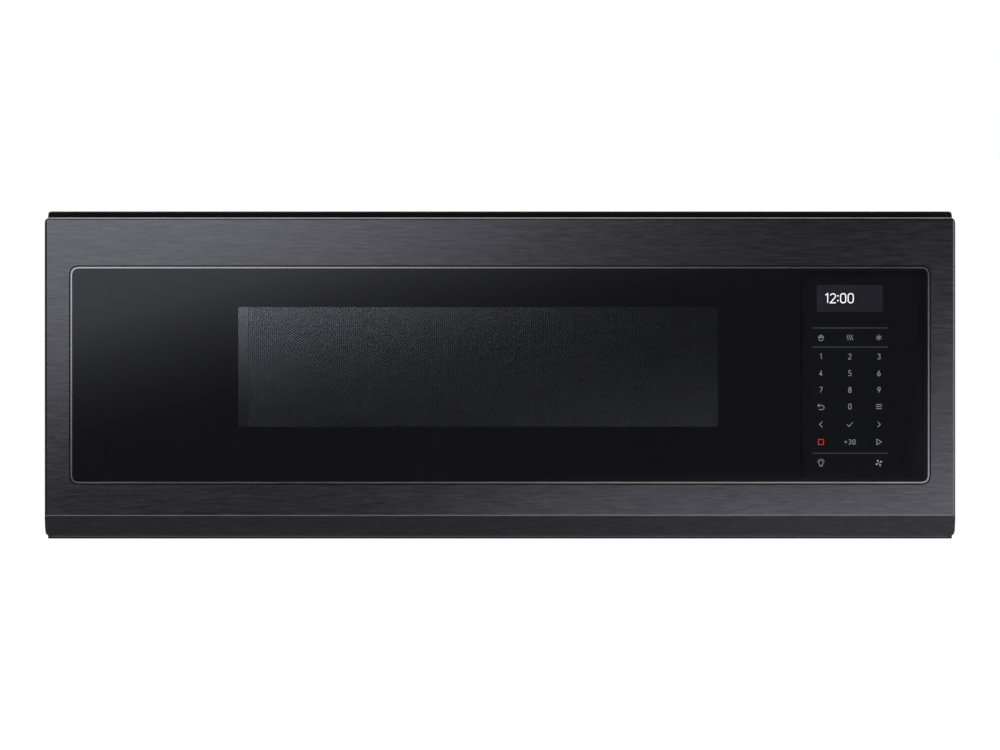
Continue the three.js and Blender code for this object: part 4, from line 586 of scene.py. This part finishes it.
# strokes of the digits and signs, about 0.5 wide and 1 high; each is a path and whether it closes
GLYPHS = {
    "0": [(rounded(-0.25, 0.25, -0.5, 0.5, 0.2499, 8), True)],
    "1": [([(-0.16, 0.33), (0.06, 0.5), (0.06, -0.5)], False)],
    "2": [([*arc(0, 0.24, 0.25, 165, -38, 10), (-0.26, -0.5), (0.28, -0.5)], False)],
    "3": [([*arc(-0.02, 0.26, 0.24, 150, -75, 9), *arc(-0.02, -0.23, 0.27, 75, -150, 10)], False)],
    "4": [([(0.28, -0.24), (-0.28, -0.24), (0.1, 0.5), (0.1, -0.5)], False)],
    "5": [([(0.2, 0.5), (-0.17, 0.5), (-0.2, 0.06), *arc(-0.02, -0.2, 0.29, 108, -145, 10)], False)],
    "6": [(HOOK, False)],
    "7": [([(-0.26, 0.5), (0.26, 0.5), (-0.08, -0.5)], False)],
    "8": [(circle(0, 0.27, 0.22, 14), True), (circle(0, -0.24, 0.26, 14), True)],
    "9": [([(-x, -z) for x, z in HOOK], False)],
    "+": [([(-0.27, 0), (0.27, 0)], False), ([(0, -0.27), (0, 0.27)], False)],
}


def digits(bm, text, x, z, height, stroke, pitch=DIGIT_PITCH, wide=1.0):
    """Digits and signs of even height and stroke, centred on a point."""
    size = height - stroke
    for i, char in enumerate(text):
        middle = x + (i - (len(text) - 1) / 2) * pitch * height
        for path, closed in GLYPHS[char]:
            ribbon(bm, [(middle + u * size * wide, z + w * size) for u, w in path], stroke, *LEGEND, closed)


def strokes(bm, x, z, paths, stroke=STROKE, closed=False):
    """Lines whose points are given from a key's middle."""
    for path in paths:
        ribbon(bm, [(x + u, z + w) for u, w in path], stroke, *LEGEND, closed)


def back_symbol(bm, x, z):
    head = [(-1.4, 2.1), (-2.6, 0.9), (-1.4, -0.3)]
    tail = [(-2.6, 0.9), (0.9, 0.9), *arc(0.9, -0.8, 1.7, 90, -90, 8)[1:], (-1.8, -2.5)]
    strokes(bm, x, z, [head, tail])


def menu_symbol(bm, x, z):
    half, pitch = 2.4, 1.7
    strokes(bm, x, z, [[(-half, k * pitch), (half, k * pitch)] for k in (-1, 0, 1)])


def arrow_symbol(bm, x, z, way):
    """An arrow to the left, or to the right where the way is 1."""
    strokes(bm, x, z, [[(-1.1 * way, 2.3), (1.2 * way, 0.0), (-1.1 * way, -2.3)]])


def tick_symbol(bm, x, z):
    strokes(bm, x, z, [[(-2.4, 0.0), (-0.7, -1.7), (2.5, 1.9)]])


def start_symbol(bm, x, z):
    strokes(bm, x, z, [[(-1.7, 2.3), (-1.7, -2.3), (2.2, 0.0)]], closed=True)


def lamp_symbol(bm, x, z):
    """A bulb in its socket, with five rays."""
    rise = 0.5
    bulb = arc(0, rise, 1.9, -55, 235, 14)
    socket = [(-1.1, -1.1), (-1.0, -2.6), (1.0, -2.6), (1.1, -1.1)]
    strokes(bm, x, z, [bulb, socket])
    angles = [math.radians(10 + 40 * k) for k in range(5)]
    strokes(bm, x, z, [[on_circle(0, rise, radius, a) for radius in (2.7, 3.5)] for a in angles], RAY_STROKE)


def fan_symbol(bm, x, z):
    for k in range(4):
        turn = Matrix.Rotation(math.radians(90 * k + 20), 2)
        blade = [turn @ Vector(p) for p in ((0.5, 0.1), (1.7, 1.0), (2.7, 0.9), (3.0, -0.2), (1.7, -0.3))]
        plate(bm, [(x + p.x, z + p.y) for p in blade], *LEGEND)


def corn_symbol(bm, x, z):
    """Popped corn in a cup."""
    strokes(bm, x, z, [[(-1.9, 0.1), (1.9, 0.1), (1.3, -2.5), (-1.3, -2.5)]], THIN_STROKE, closed=True)
    puffs = ((-1.25, 0.45), (0.0, 1.25), (1.25, 0.45))
    strokes(bm, x, z, [arc(u, w, 0.85, -10, 190, 8) for u, w in puffs], THIN_STROKE)


def heat_symbol(bm, x, z):
    """Three rising waves."""
    wave = [(0.5 * math.sin(i * 0.75), -2.2 + 0.45 * i) for i in range(11)]
    strokes(bm, x, z, [[(k + u, w) for u, w in wave] for k in (-1.9, 0.0, 1.9)], THIN_STROKE)


def frost_symbol(bm, x, z):
    """A star of three lines."""
    tips = [on_circle(0, 0, 2.6, math.radians(60 * k + 30)) for k in range(3)]
    strokes(bm, x, z, [[(-u, -w), (u, w)] for u, w in tips], THIN_STROKE)


def make_key_symbols():
    """The digits and pictograms of the touch keys."""
    bm = bmesh.new()
    for i, label in enumerate("123456789"):
        digits(bm, label, KEY_COLUMNS[i % 3], DIGIT_ROWS[i // 3], DIGIT_HEIGHT, STROKE)
    digits(bm, "0", MIDDLE, ZERO_ROW, DIGIT_HEIGHT, STROKE)
    digits(bm, "+30", MIDDLE, START_ROW, SHORT_DIGIT_HEIGHT, STROKE, SHORT_DIGIT_PITCH)
    back_symbol(bm, LEFT, ZERO_ROW)
    menu_symbol(bm, RIGHT, ZERO_ROW)
    arrow_symbol(bm, LEFT, ARROW_ROW, -1)
    arrow_symbol(bm, RIGHT, ARROW_ROW, 1)
    tick_symbol(bm, MIDDLE, ARROW_ROW)
    start_symbol(bm, RIGHT, START_ROW)
    lamp_symbol(bm, LEFT, LAMP_ROW)
    fan_symbol(bm, RIGHT, LAMP_ROW)
    corn_symbol(bm, LEFT, WORD_ROW)
    heat_symbol(bm, MIDDLE, WORD_ROW)
    frost_symbol(bm, RIGHT, WORD_ROW)
    # the key marks' glow is partly backlight and partly painted light, in place of the lamp light that the
    # glass holds back
    key_print_with_painted_light = glow_and_painted_light("key_print_with_painted_light", (0.42, 0.42, 0.43), strength=0.66)
    add_piece("key_symbols", bm, key_print_with_painted_light, "door")


def make_stop_symbol():
    """The red square of the stop key."""
    bm = bmesh.new()
    square = [(u * STOP_HALF, w * STOP_HALF) for u, w in ((-1, -1), (1, -1), (1, 1), (-1, 1))]
    strokes(bm, LEFT, START_ROW, [square], STOP_STROKE, closed=True)
    # the stop square's glow is partly backlight and partly painted light, in place of the lamp light that the
    # glass holds back
    stop_print_with_painted_light = glow_and_painted_light("stop_print_with_painted_light", (0.55, 0.03, 0.045), strength=0.8)
    add_piece("stop_symbol", bm, stop_print_with_painted_light, "door")


def make_key_rules():
    """The lines between the groups of keys."""
    bm = bmesh.new()
    for z in RULES:
        ribbon(bm, [(x, z) for x in RULE_ENDS], RULE_STROKE, *LEGEND)
    # the rules' glow is partly backlight and partly painted light, in place of the lamp light that the glass
    # holds back
    rule_print_with_painted_light = glow_and_painted_light("rule_print_with_painted_light", (0.16, 0.16, 0.18), strength=0.12)
    add_piece("key_rules", bm, rule_print_with_painted_light, "door")


def make_display_window():
    """The slightly paler field that the clock stands on."""
    bm = bmesh.new()
    plate(bm, rounded(*DISPLAY, DISPLAY_CORNER), PRINT_FRONT - FILM / 2, PRINT_FRONT)
    display_glass = coated("display_window", (0.062, 0.058, 0.072), roughness=0.3,
                           grain=800.0, amount=0.06, microns=1, Specular_IOR_Level=0.0)
    add_piece("display_window", bm, display_glass, "door")


def make_clock():
    """The lit digits and their colon."""
    bm = bmesh.new()
    for label, x in CLOCK_DIGITS:
        digits(bm, label, x, CLOCK_Z, CLOCK_HEIGHT, CLOCK_STROKE, wide=CLOCK_WIDENING)
    for z in (CLOCK_Z - COLON_RISE, CLOCK_Z + COLON_RISE):
        plate(bm, circle(COLON_X, z, COLON_RADIUS, 16), *LEGEND)
    clock_light = glow_and_painted_light("clock_light", (1.0, 1.0, 1.0), strength=0.95)
    add_piece("clock_digits", bm, clock_light, "door")


make_display_window()
make_clock()
make_key_rules()
make_key_symbols()
make_stop_symbol()


# ---------------------------------------------------------------- fasteners

def pan_head(bm, place, out, radius, height):
    """A low pan head with a cross recess, standing on a face whose outward direction is given."""
    out = Vector(out)
    side = out.orthogonal().normalized()
    up = out.cross(side)
    arm, half = radius * 0.55, radius * 0.13
    taper, bottom = 0.75, height * 0.35
    quarter = [(arm, -half), (arm, half), (half, half)]
    turns = ((1, 0), (0, 1), (-1, 0), (0, -1))
    cross = [(u * c - w * s, u * s + w * c) for c, s in turns for u, w in quarter]
    recess = [(u * taper, w * taper) for u, w in cross]
    # outlines and their heights, from the face over the rounded edge to the bottom of the recess
    levels = [(circle(0, 0, radius * share, 12, -15), height * level)
              for share, level in ((1.0, 0.0), (1.0, 0.45), (0.93, 0.75), (0.76, 1.0))]
    levels += [(cross, height), (recess, bottom)]
    closed_form(bm, [[bm.verts.new(Vector(place) + side * u + up * w + out * level) for u, w in outline]
                     for outline, level in levels])


def cabinet_screws(name, slot, heads, height=HEAD_HEIGHT):
    """One piece with a pan head at each place, whose outward direction is given with it."""
    bm = bmesh.new()
    for place, out in heads:
        pan_head(bm, place, out, HEAD_RADIUS, height)
    add_piece(name, bm, MATERIALS[slot], "cabinet")


side_front, side_bottom = case_low.y + FRONT_INSET, case_low.z + BOTTOM_INSET
side_places = [(y, side_bottom) for y in (side_front, SIDE_MIDDLE_Y, SIDE_BACK_Y)]
side_places += [(y, SIDE_TOP_Z) for y in (SIDE_BACK_Y, side_front)]
sides = [((hand * (case_high.x - BURIED), y, z), (hand, 0, 0)) for hand in (-1, 1) for y, z in side_places]
top = [((x, TOP_Y, case_high.z - BURIED), (0, 0, 1)) for x in TOP_XS]
cabinet_screws("case_screws", "black_paint", sides + top)

back_places = [(x, z) for x in (-BACK_X, BACK_X) for z in (-BACK_Z, 0, BACK_Z)]
back_places += [(x, BACK_Z) for x in (-BACK_TOP_X, BACK_TOP_X)]
back = [((x, case_high.y - BURIED, z), (0, 1, 0)) for x, z in back_places]
cabinet_screws("back_screws", "zinc_steel", back, BACK_HEAD_HEIGHT)

front_places = [(x, z) for x in HINGE_XS for z in HINGE_ZS] + [(x, FRONT_Z) for x in FRONT_XS]
front = [((x, case_low.y + BURIED, z), (0, -1, 0)) for x, z in front_places]
cabinet_screws("front_screws", "zinc_steel", front)


# ---------------------------------------------------------------- latch spring

def coil_spring(node, turns, wire, steps=16, sides=8):
    """A round wire spring in a node's box, whose last turn at each end lies closed."""
    low, high = (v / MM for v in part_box(node))
    x, y = (low.x + high.x) / 2, (low.y + high.y) / 2
    coil = (high.y - low.y) / 2 - wire
    closed = 2.1 * wire              # how far a closed turn climbs
    climb = high.z - low.z - 2 * wire - 2 * closed
    bm = bmesh.new()
    rings = []
    for i in range(turns * steps + 1):
        turn = i / steps
        at_ends = min(turn, 1.0) + max(turn - turns + 1, 0.0)
        between = min(max(turn - 1, 0.0), turns - 2.0)
        middle = Vector((x, y, low.z + wire + closed * at_ends + climb * between / (turns - 2)))
        out = Vector((*on_circle(0, 0, 1, 2 * math.pi * turn), 0))
        section = [on_circle(coil, 0, wire, 2 * math.pi * k / sides) for k in range(sides)]
        rings.append([bm.verts.new(middle + out * reach + Vector((0, 0, rise))) for reach, rise in section])
    closed_form(bm, rings)
    spring = add_piece("coil_spring", bm, MATERIALS["spring_steel"], "door")
    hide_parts(node)
    return spring


latch_spring = coil_spring("latch_spring", turns=SPRING_TURNS, wire=SPRING_WIRE)
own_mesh(latch_spring)


# ---------------------------------------------------------------- grease filter mesh

def filter_mesh(name, node, body):
    """Two crossing layers of thin aluminium strands over the bars of a filter."""
    low, high = (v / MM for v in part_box(node))
    x0, x1 = low.x + MESH_EDGE, high.x - MESH_EDGE
    y0, y1 = low.y + MESH_EDGE - MESH_LENGTHENING, high.y - MESH_EDGE + MESH_LENGTHENING
    span = y1 - y0
    bm = bmesh.new()
    for layer, hand in enumerate((1, -1)):
        z0 = MESH_BOTTOM + layer * STRAND_HEIGHT
        across = Vector((-hand, 1)).normalized() * STRAND_WIDTH / 2
        for i in range(int((x1 - x0 + span) / STRAND_PITCH) + 1):
            start = x0 - span + i * STRAND_PITCH
            a, b = max(start, x0), min(start + span, x1)
            if b - a < 2 * STRAND_WIDTH:
                continue
            ends = [Vector((u, y0 + (u - start))) for u in (a, b)]
            if hand < 0:
                ends = [Vector((u, y0 + y1 - v)) for u, v in ends]
            corners = [ends[0] - across, ends[1] - across, ends[1] + across, ends[0] + across]
            closed_form(bm, [[bm.verts.new((*corner, z)) for corner in corners]
                             for z in (z0, z0 + STRAND_HEIGHT)])
    add_piece(name, bm, MATERIALS["aluminium"], body)


for hand in ("left", "right"):
    filter_mesh(f"filter_mesh_{hand}", f"grease_filter_{hand}", f"filter_{hand}")


# ---------------------------------------------------------------- studio, in metres

FLOOR = -0.62
FLOOR_REACH = 150.0
BACKDROP_RAYS = ("Is Camera Ray", "Is Glossy Ray", "Is Transmission Ray")
DOOR_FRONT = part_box("door_skin")[0].y
CAMERA_DISTANCE = 8.0
CARD_DISTANCE = 1.2
CARD_Y = DOOR_FRONT - CARD_DISTANCE
CARD_SIDE = 3.0
CARD_LOW = FLOOR + 0.02
CARD_TOP = 2.6
SIDE_CARD_BACK = 3.0
CARD_TINT = (0.95, 0.97, 1.1)

# the front card's light: places in metres on the door that reflects them, each with a strength or shade
EDGE_SLOPE = 0.255               # how the light's lower edge rises to the right
EDGE_TOP = 0.107                 # from this height on the light over the edge stays the same
OVER_EDGE = ((0.0, 0.03), (0.03, 0.045), (0.052, 0.1), (0.084, 0.28), (0.117, 0.64), (0.143, 0.95),
             (0.17, 1.07), (0.25, 1.15), (0.4, 1.15))
UNDER_EDGE = ((-0.45, 0.18), (-0.25, 0.06), (-0.1, 0.08), (0.02, 0.5), (0.2, 0.72), (0.3, 0.78), (0.42, 0.72))
UNDER_EDGE_DEPTH = 0.19
UNDER_EDGE_LIGHT = 1.25
DARK_MIDDLE_X = (0.33, 0.42)     # where the light under the edge is held back, and where it's whole
DARK_MIDDLE_Z = (0.07, 0.14)
FAR_LEFT_SHADE = ((0.5, 0.0), (0.75, 0.9), (1.1, 0.9), (1.3, 0.5), (2.7, 0.5))
FAR_TOP_SHADE = ((0.4, 0.0), (0.6, 0.85), (1.15, 0.85), (1.35, 0.5), (2.3, 0.5))
FAR_RIGHT = ((0.62, 0.0), (0.95, 1.2), (2.6, 1.2))


class Shine(Nodes):
    """A stage material that gives light, worked out from the place on its surface."""

    def __init__(self, name, scale=1.0):
        self.material = bpy.data.materials.new(name)
        self.material.use_nodes = True
        super().__init__(self.material.node_tree)
        self.tree.nodes.remove(self.tree.nodes["Principled BSDF"])
        self.place = self.node("ShaderNodeTexCoord").outputs["Object"]
        self.x, self.y, self.z = self.node("ShaderNodeSeparateXYZ", {0: self.scaled(scale)}).outputs

    def soft_step(self, value, start, end, low=0.0, high=1.0):
        return self.spread(value, low, high, start, end, interpolation_type="SMOOTHSTEP")

    def curve(self, value, stops, top=1.2):
        """A smooth curve through stops of a value and a height up to the top."""
        start, end = stops[0][0], stops[-1][0]
        item = self.node("ShaderNodeFloatCurve", {"Value": self.spread(value, 0.0, 1.0, start, end)})
        points = item.mapping.curves[0].points
        while len(points) < len(stops):
            points.new(0.5, 0.5)
        for point, (where, height) in zip(points, stops):
            point.location = ((where - start) / (end - start), height / top)
            point.handle_type = "AUTO_CLAMPED"
        item.mapping.update()
        return self.math("MULTIPLY", item.outputs["Value"], top)

    def show(self, shader):
        self.tree.links.new(shader.outputs[0], self.tree.nodes["Material Output"].inputs["Surface"])
        return self.material

    def shine(self, strength, color=(1.0, 1.0, 1.0)):
        return self.show(self.node("ShaderNodeEmission", {"Color": (*color, 1), "Strength": strength}))


def level_sheet(x0, x1, y0, y1, z):
    """Corners of a level rectangle."""
    return [(x0, y0, z), (x1, y0, z), (x1, y1, z), (x0, y1, z)]


def stage_mesh(name, corners, material):
    mesh = bpy.data.meshes.new(name)
    mesh.from_pydata(corners, [], [(0, 1, 2, 3)])
    item = bpy.data.objects.new(name, mesh)
    bpy.context.scene.collection.objects.link(item)
    mesh.materials.append(material)
    return item


def any_ray(nodes):
    """1 for the rays that show the background itself."""
    rays = nodes.node("ShaderNodeLightPath").outputs
    total = rays[BACKDROP_RAYS[0]]
    for name in BACKDROP_RAYS[1:]:
        total = nodes.math("MAXIMUM", total, rays[name])
    return total


def make_floor():
    """A pale floor that keeps the shadow, fades to the white background and is clear from below."""
    pale, shown_grey = (0.8, 0.8, 0.8, 1), (0.42, 0.42, 0.42, 1)
    near, far, dim, bright = 1.0, 7.0, 0.56, 0.76
    g = Shine("floor")
    away = g.vector("LENGTH", g.place, output="Value")
    light = g.node("ShaderNodeEmission", {"Strength": g.soft_step(away, near, far, dim, bright)})
    plain = g.node("ShaderNodeBsdfDiffuse", {"Color": pale})
    shown = g.node("ShaderNodeBsdfDiffuse", {"Color": shown_grey})
    lit = g.node("ShaderNodeAddShader", {0: shown.outputs[0], 1: light.outputs[0]})
    above = g.node("ShaderNodeMixShader", {0: any_ray(g), 1: plain.outputs[0], 2: lit.outputs[0]})
    below = g.node("ShaderNodeBsdfTransparent")
    facing = g.node("ShaderNodeNewGeometry").outputs["Backfacing"]
    g.show(g.node("ShaderNodeMixShader", {0: facing, 1: above.outputs[0], 2: below.outputs[0]}))
    reach = FLOOR_REACH
    stage_mesh("floor", level_sheet(-reach, reach, -reach, reach, FLOOR), g.material)


def make_world():
    """White where it's seen, and dimmer as a light."""
    world = bpy.data.worlds.new("studio")
    bpy.context.scene.world = world
    world.use_nodes = True
    g = Nodes(world.node_tree)
    background = g.tree.nodes["Background"]
    background.inputs["Color"].default_value = (1, 1, 1, 1)
    strength = g.spread(any_ray(g), low=0.62, high=1.0, start=0.0, end=1.0)
    g.tree.links.new(strength, background.inputs["Strength"])


def card(name, corners, material):
    """A light surface that only reflections show."""
    item = stage_mesh(name, corners, material)
    item.visible_camera = False
    item.visible_shadow = False
    item.visible_diffuse = False


def make_front_card():
    """A large soft card before the door, with a dark middle, a sloping edge of light and shades far out."""
    g = Shine("soft_card", 1 / (1 + CARD_DISTANCE / CAMERA_DISTANCE))
    edge = g.math("MULTIPLY", g.x, EDGE_SLOPE)
    upper = g.curve(g.math("SUBTRACT", g.math("MINIMUM", g.z, EDGE_TOP), edge), OVER_EDGE)
    depth = g.soft_step(g.math("SUBTRACT", edge, g.z), 0.0, UNDER_EDGE_DEPTH, 0.0, UNDER_EDGE_LIGHT)
    lower = g.math("MULTIPLY", depth, g.curve(g.x, UNDER_EDGE))
    beside = g.math("MAXIMUM", g.soft_step(g.math("ABSOLUTE", g.x), *DARK_MIDDLE_X),
                    g.soft_step(g.math("ABSOLUTE", g.z), *DARK_MIDDLE_Z))
    near = g.math("MAXIMUM", upper, g.math("MULTIPLY", lower, beside))
    light = g.math("MAXIMUM", near, g.curve(g.x, FAR_RIGHT))
    shade = g.math("MAXIMUM", g.curve(g.math("MULTIPLY", g.x, -1.0), FAR_LEFT_SHADE),
                   g.curve(g.z, FAR_TOP_SHADE))
    strength = g.math("MULTIPLY", light, g.math("SUBTRACT", 1.0, shade))
    card("soft_card", [(-CARD_SIDE, CARD_Y, CARD_LOW), (CARD_SIDE, CARD_Y, CARD_LOW),
                       (CARD_SIDE, CARD_Y, CARD_TOP), (-CARD_SIDE, CARD_Y, CARD_TOP)],
         g.shine(strength, CARD_TINT))


def make_side_cards():
    """Dark beside the door, and light towards the back for the cabinet's sides."""
    g = Shine("side_card")
    material = g.shine(g.soft_step(g.y, start=-0.5, end=0.6, low=0.04, high=0.9))
    for name, x in (("left_card", -CARD_SIDE), ("right_card", CARD_SIDE)):
        card(name, [(x, CARD_Y, CARD_LOW), (x, SIDE_CARD_BACK, CARD_LOW),
                    (x, SIDE_CARD_BACK, CARD_TOP), (x, CARD_Y, CARD_TOP)], material)


def make_top_card():
    """A strip light over the door's top edge, brighter at the left."""
    g = Shine("top_card")
    light = g.shine(g.soft_step(g.x, start=-0.4, end=0.4, low=2.6, high=0.8))
    card("top_card", level_sheet(x0=-0.7, x1=0.7, y0=-0.8, y1=-0.2, z=2.5), light)


def make_flag():
    """A dim card under the front edge, which the leaning lip reflects."""
    g = Shine("dim_flag")
    light = g.shine(g.soft_step(g.x, start=-0.1, end=0.4, low=0.13, high=0.23), CARD_TINT)
    card("dim_flag", level_sheet(x0=-1.2, x1=1.2, y0=-0.74, y1=0.1, z=FLOOR + 0.12), light)


def add_lamp(name, place, power, target=(0, -0.2, 0), size=1.6):
    lamp = bpy.data.lights.new(name, "AREA")
    lamp.shape = "SQUARE"
    lamp.size = size
    lamp.energy = power
    item = bpy.data.objects.new(name, lamp)
    bpy.context.scene.collection.objects.link(item)
    item.location = place
    item.rotation_euler = (Vector(target) - Vector(place)).to_track_quat("-Z", "Y").to_euler()
    item.visible_camera = False
    item.visible_glossy = False


make_floor()
make_world()
make_front_card()
make_side_cards()
make_top_card()
make_flag()
add_lamp("key", place=(-1.8, -2.4, 2.4), power=45.0)
add_lamp("back", place=(1.8, 2.2, 1.8), power=30.0)


# ---------------------------------------------------------------- camera

PIXEL = 0.0008332                # metres across the door's front that one pixel of the picture shows
PICTURE_WIDTH = 1000
camera_data = bpy.data.cameras.new("camera")
camera_data.sensor_width = 36.0
camera_data.lens = camera_data.sensor_width * CAMERA_DISTANCE / (PIXEL * PICTURE_WIDTH)
camera_data.clip_start, camera_data.clip_end = 0.05, 200.0
camera = bpy.data.objects.new("camera", camera_data)
bpy.context.scene.collection.objects.link(camera)
camera.location = (0.0, DOOR_FRONT - CAMERA_DISTANCE, 0.0)
camera.rotation_euler = (math.pi / 2, 0.0, 0.0)
bpy.context.scene.camera = camera

bpy.context.scene.view_settings.view_transform = "Standard"
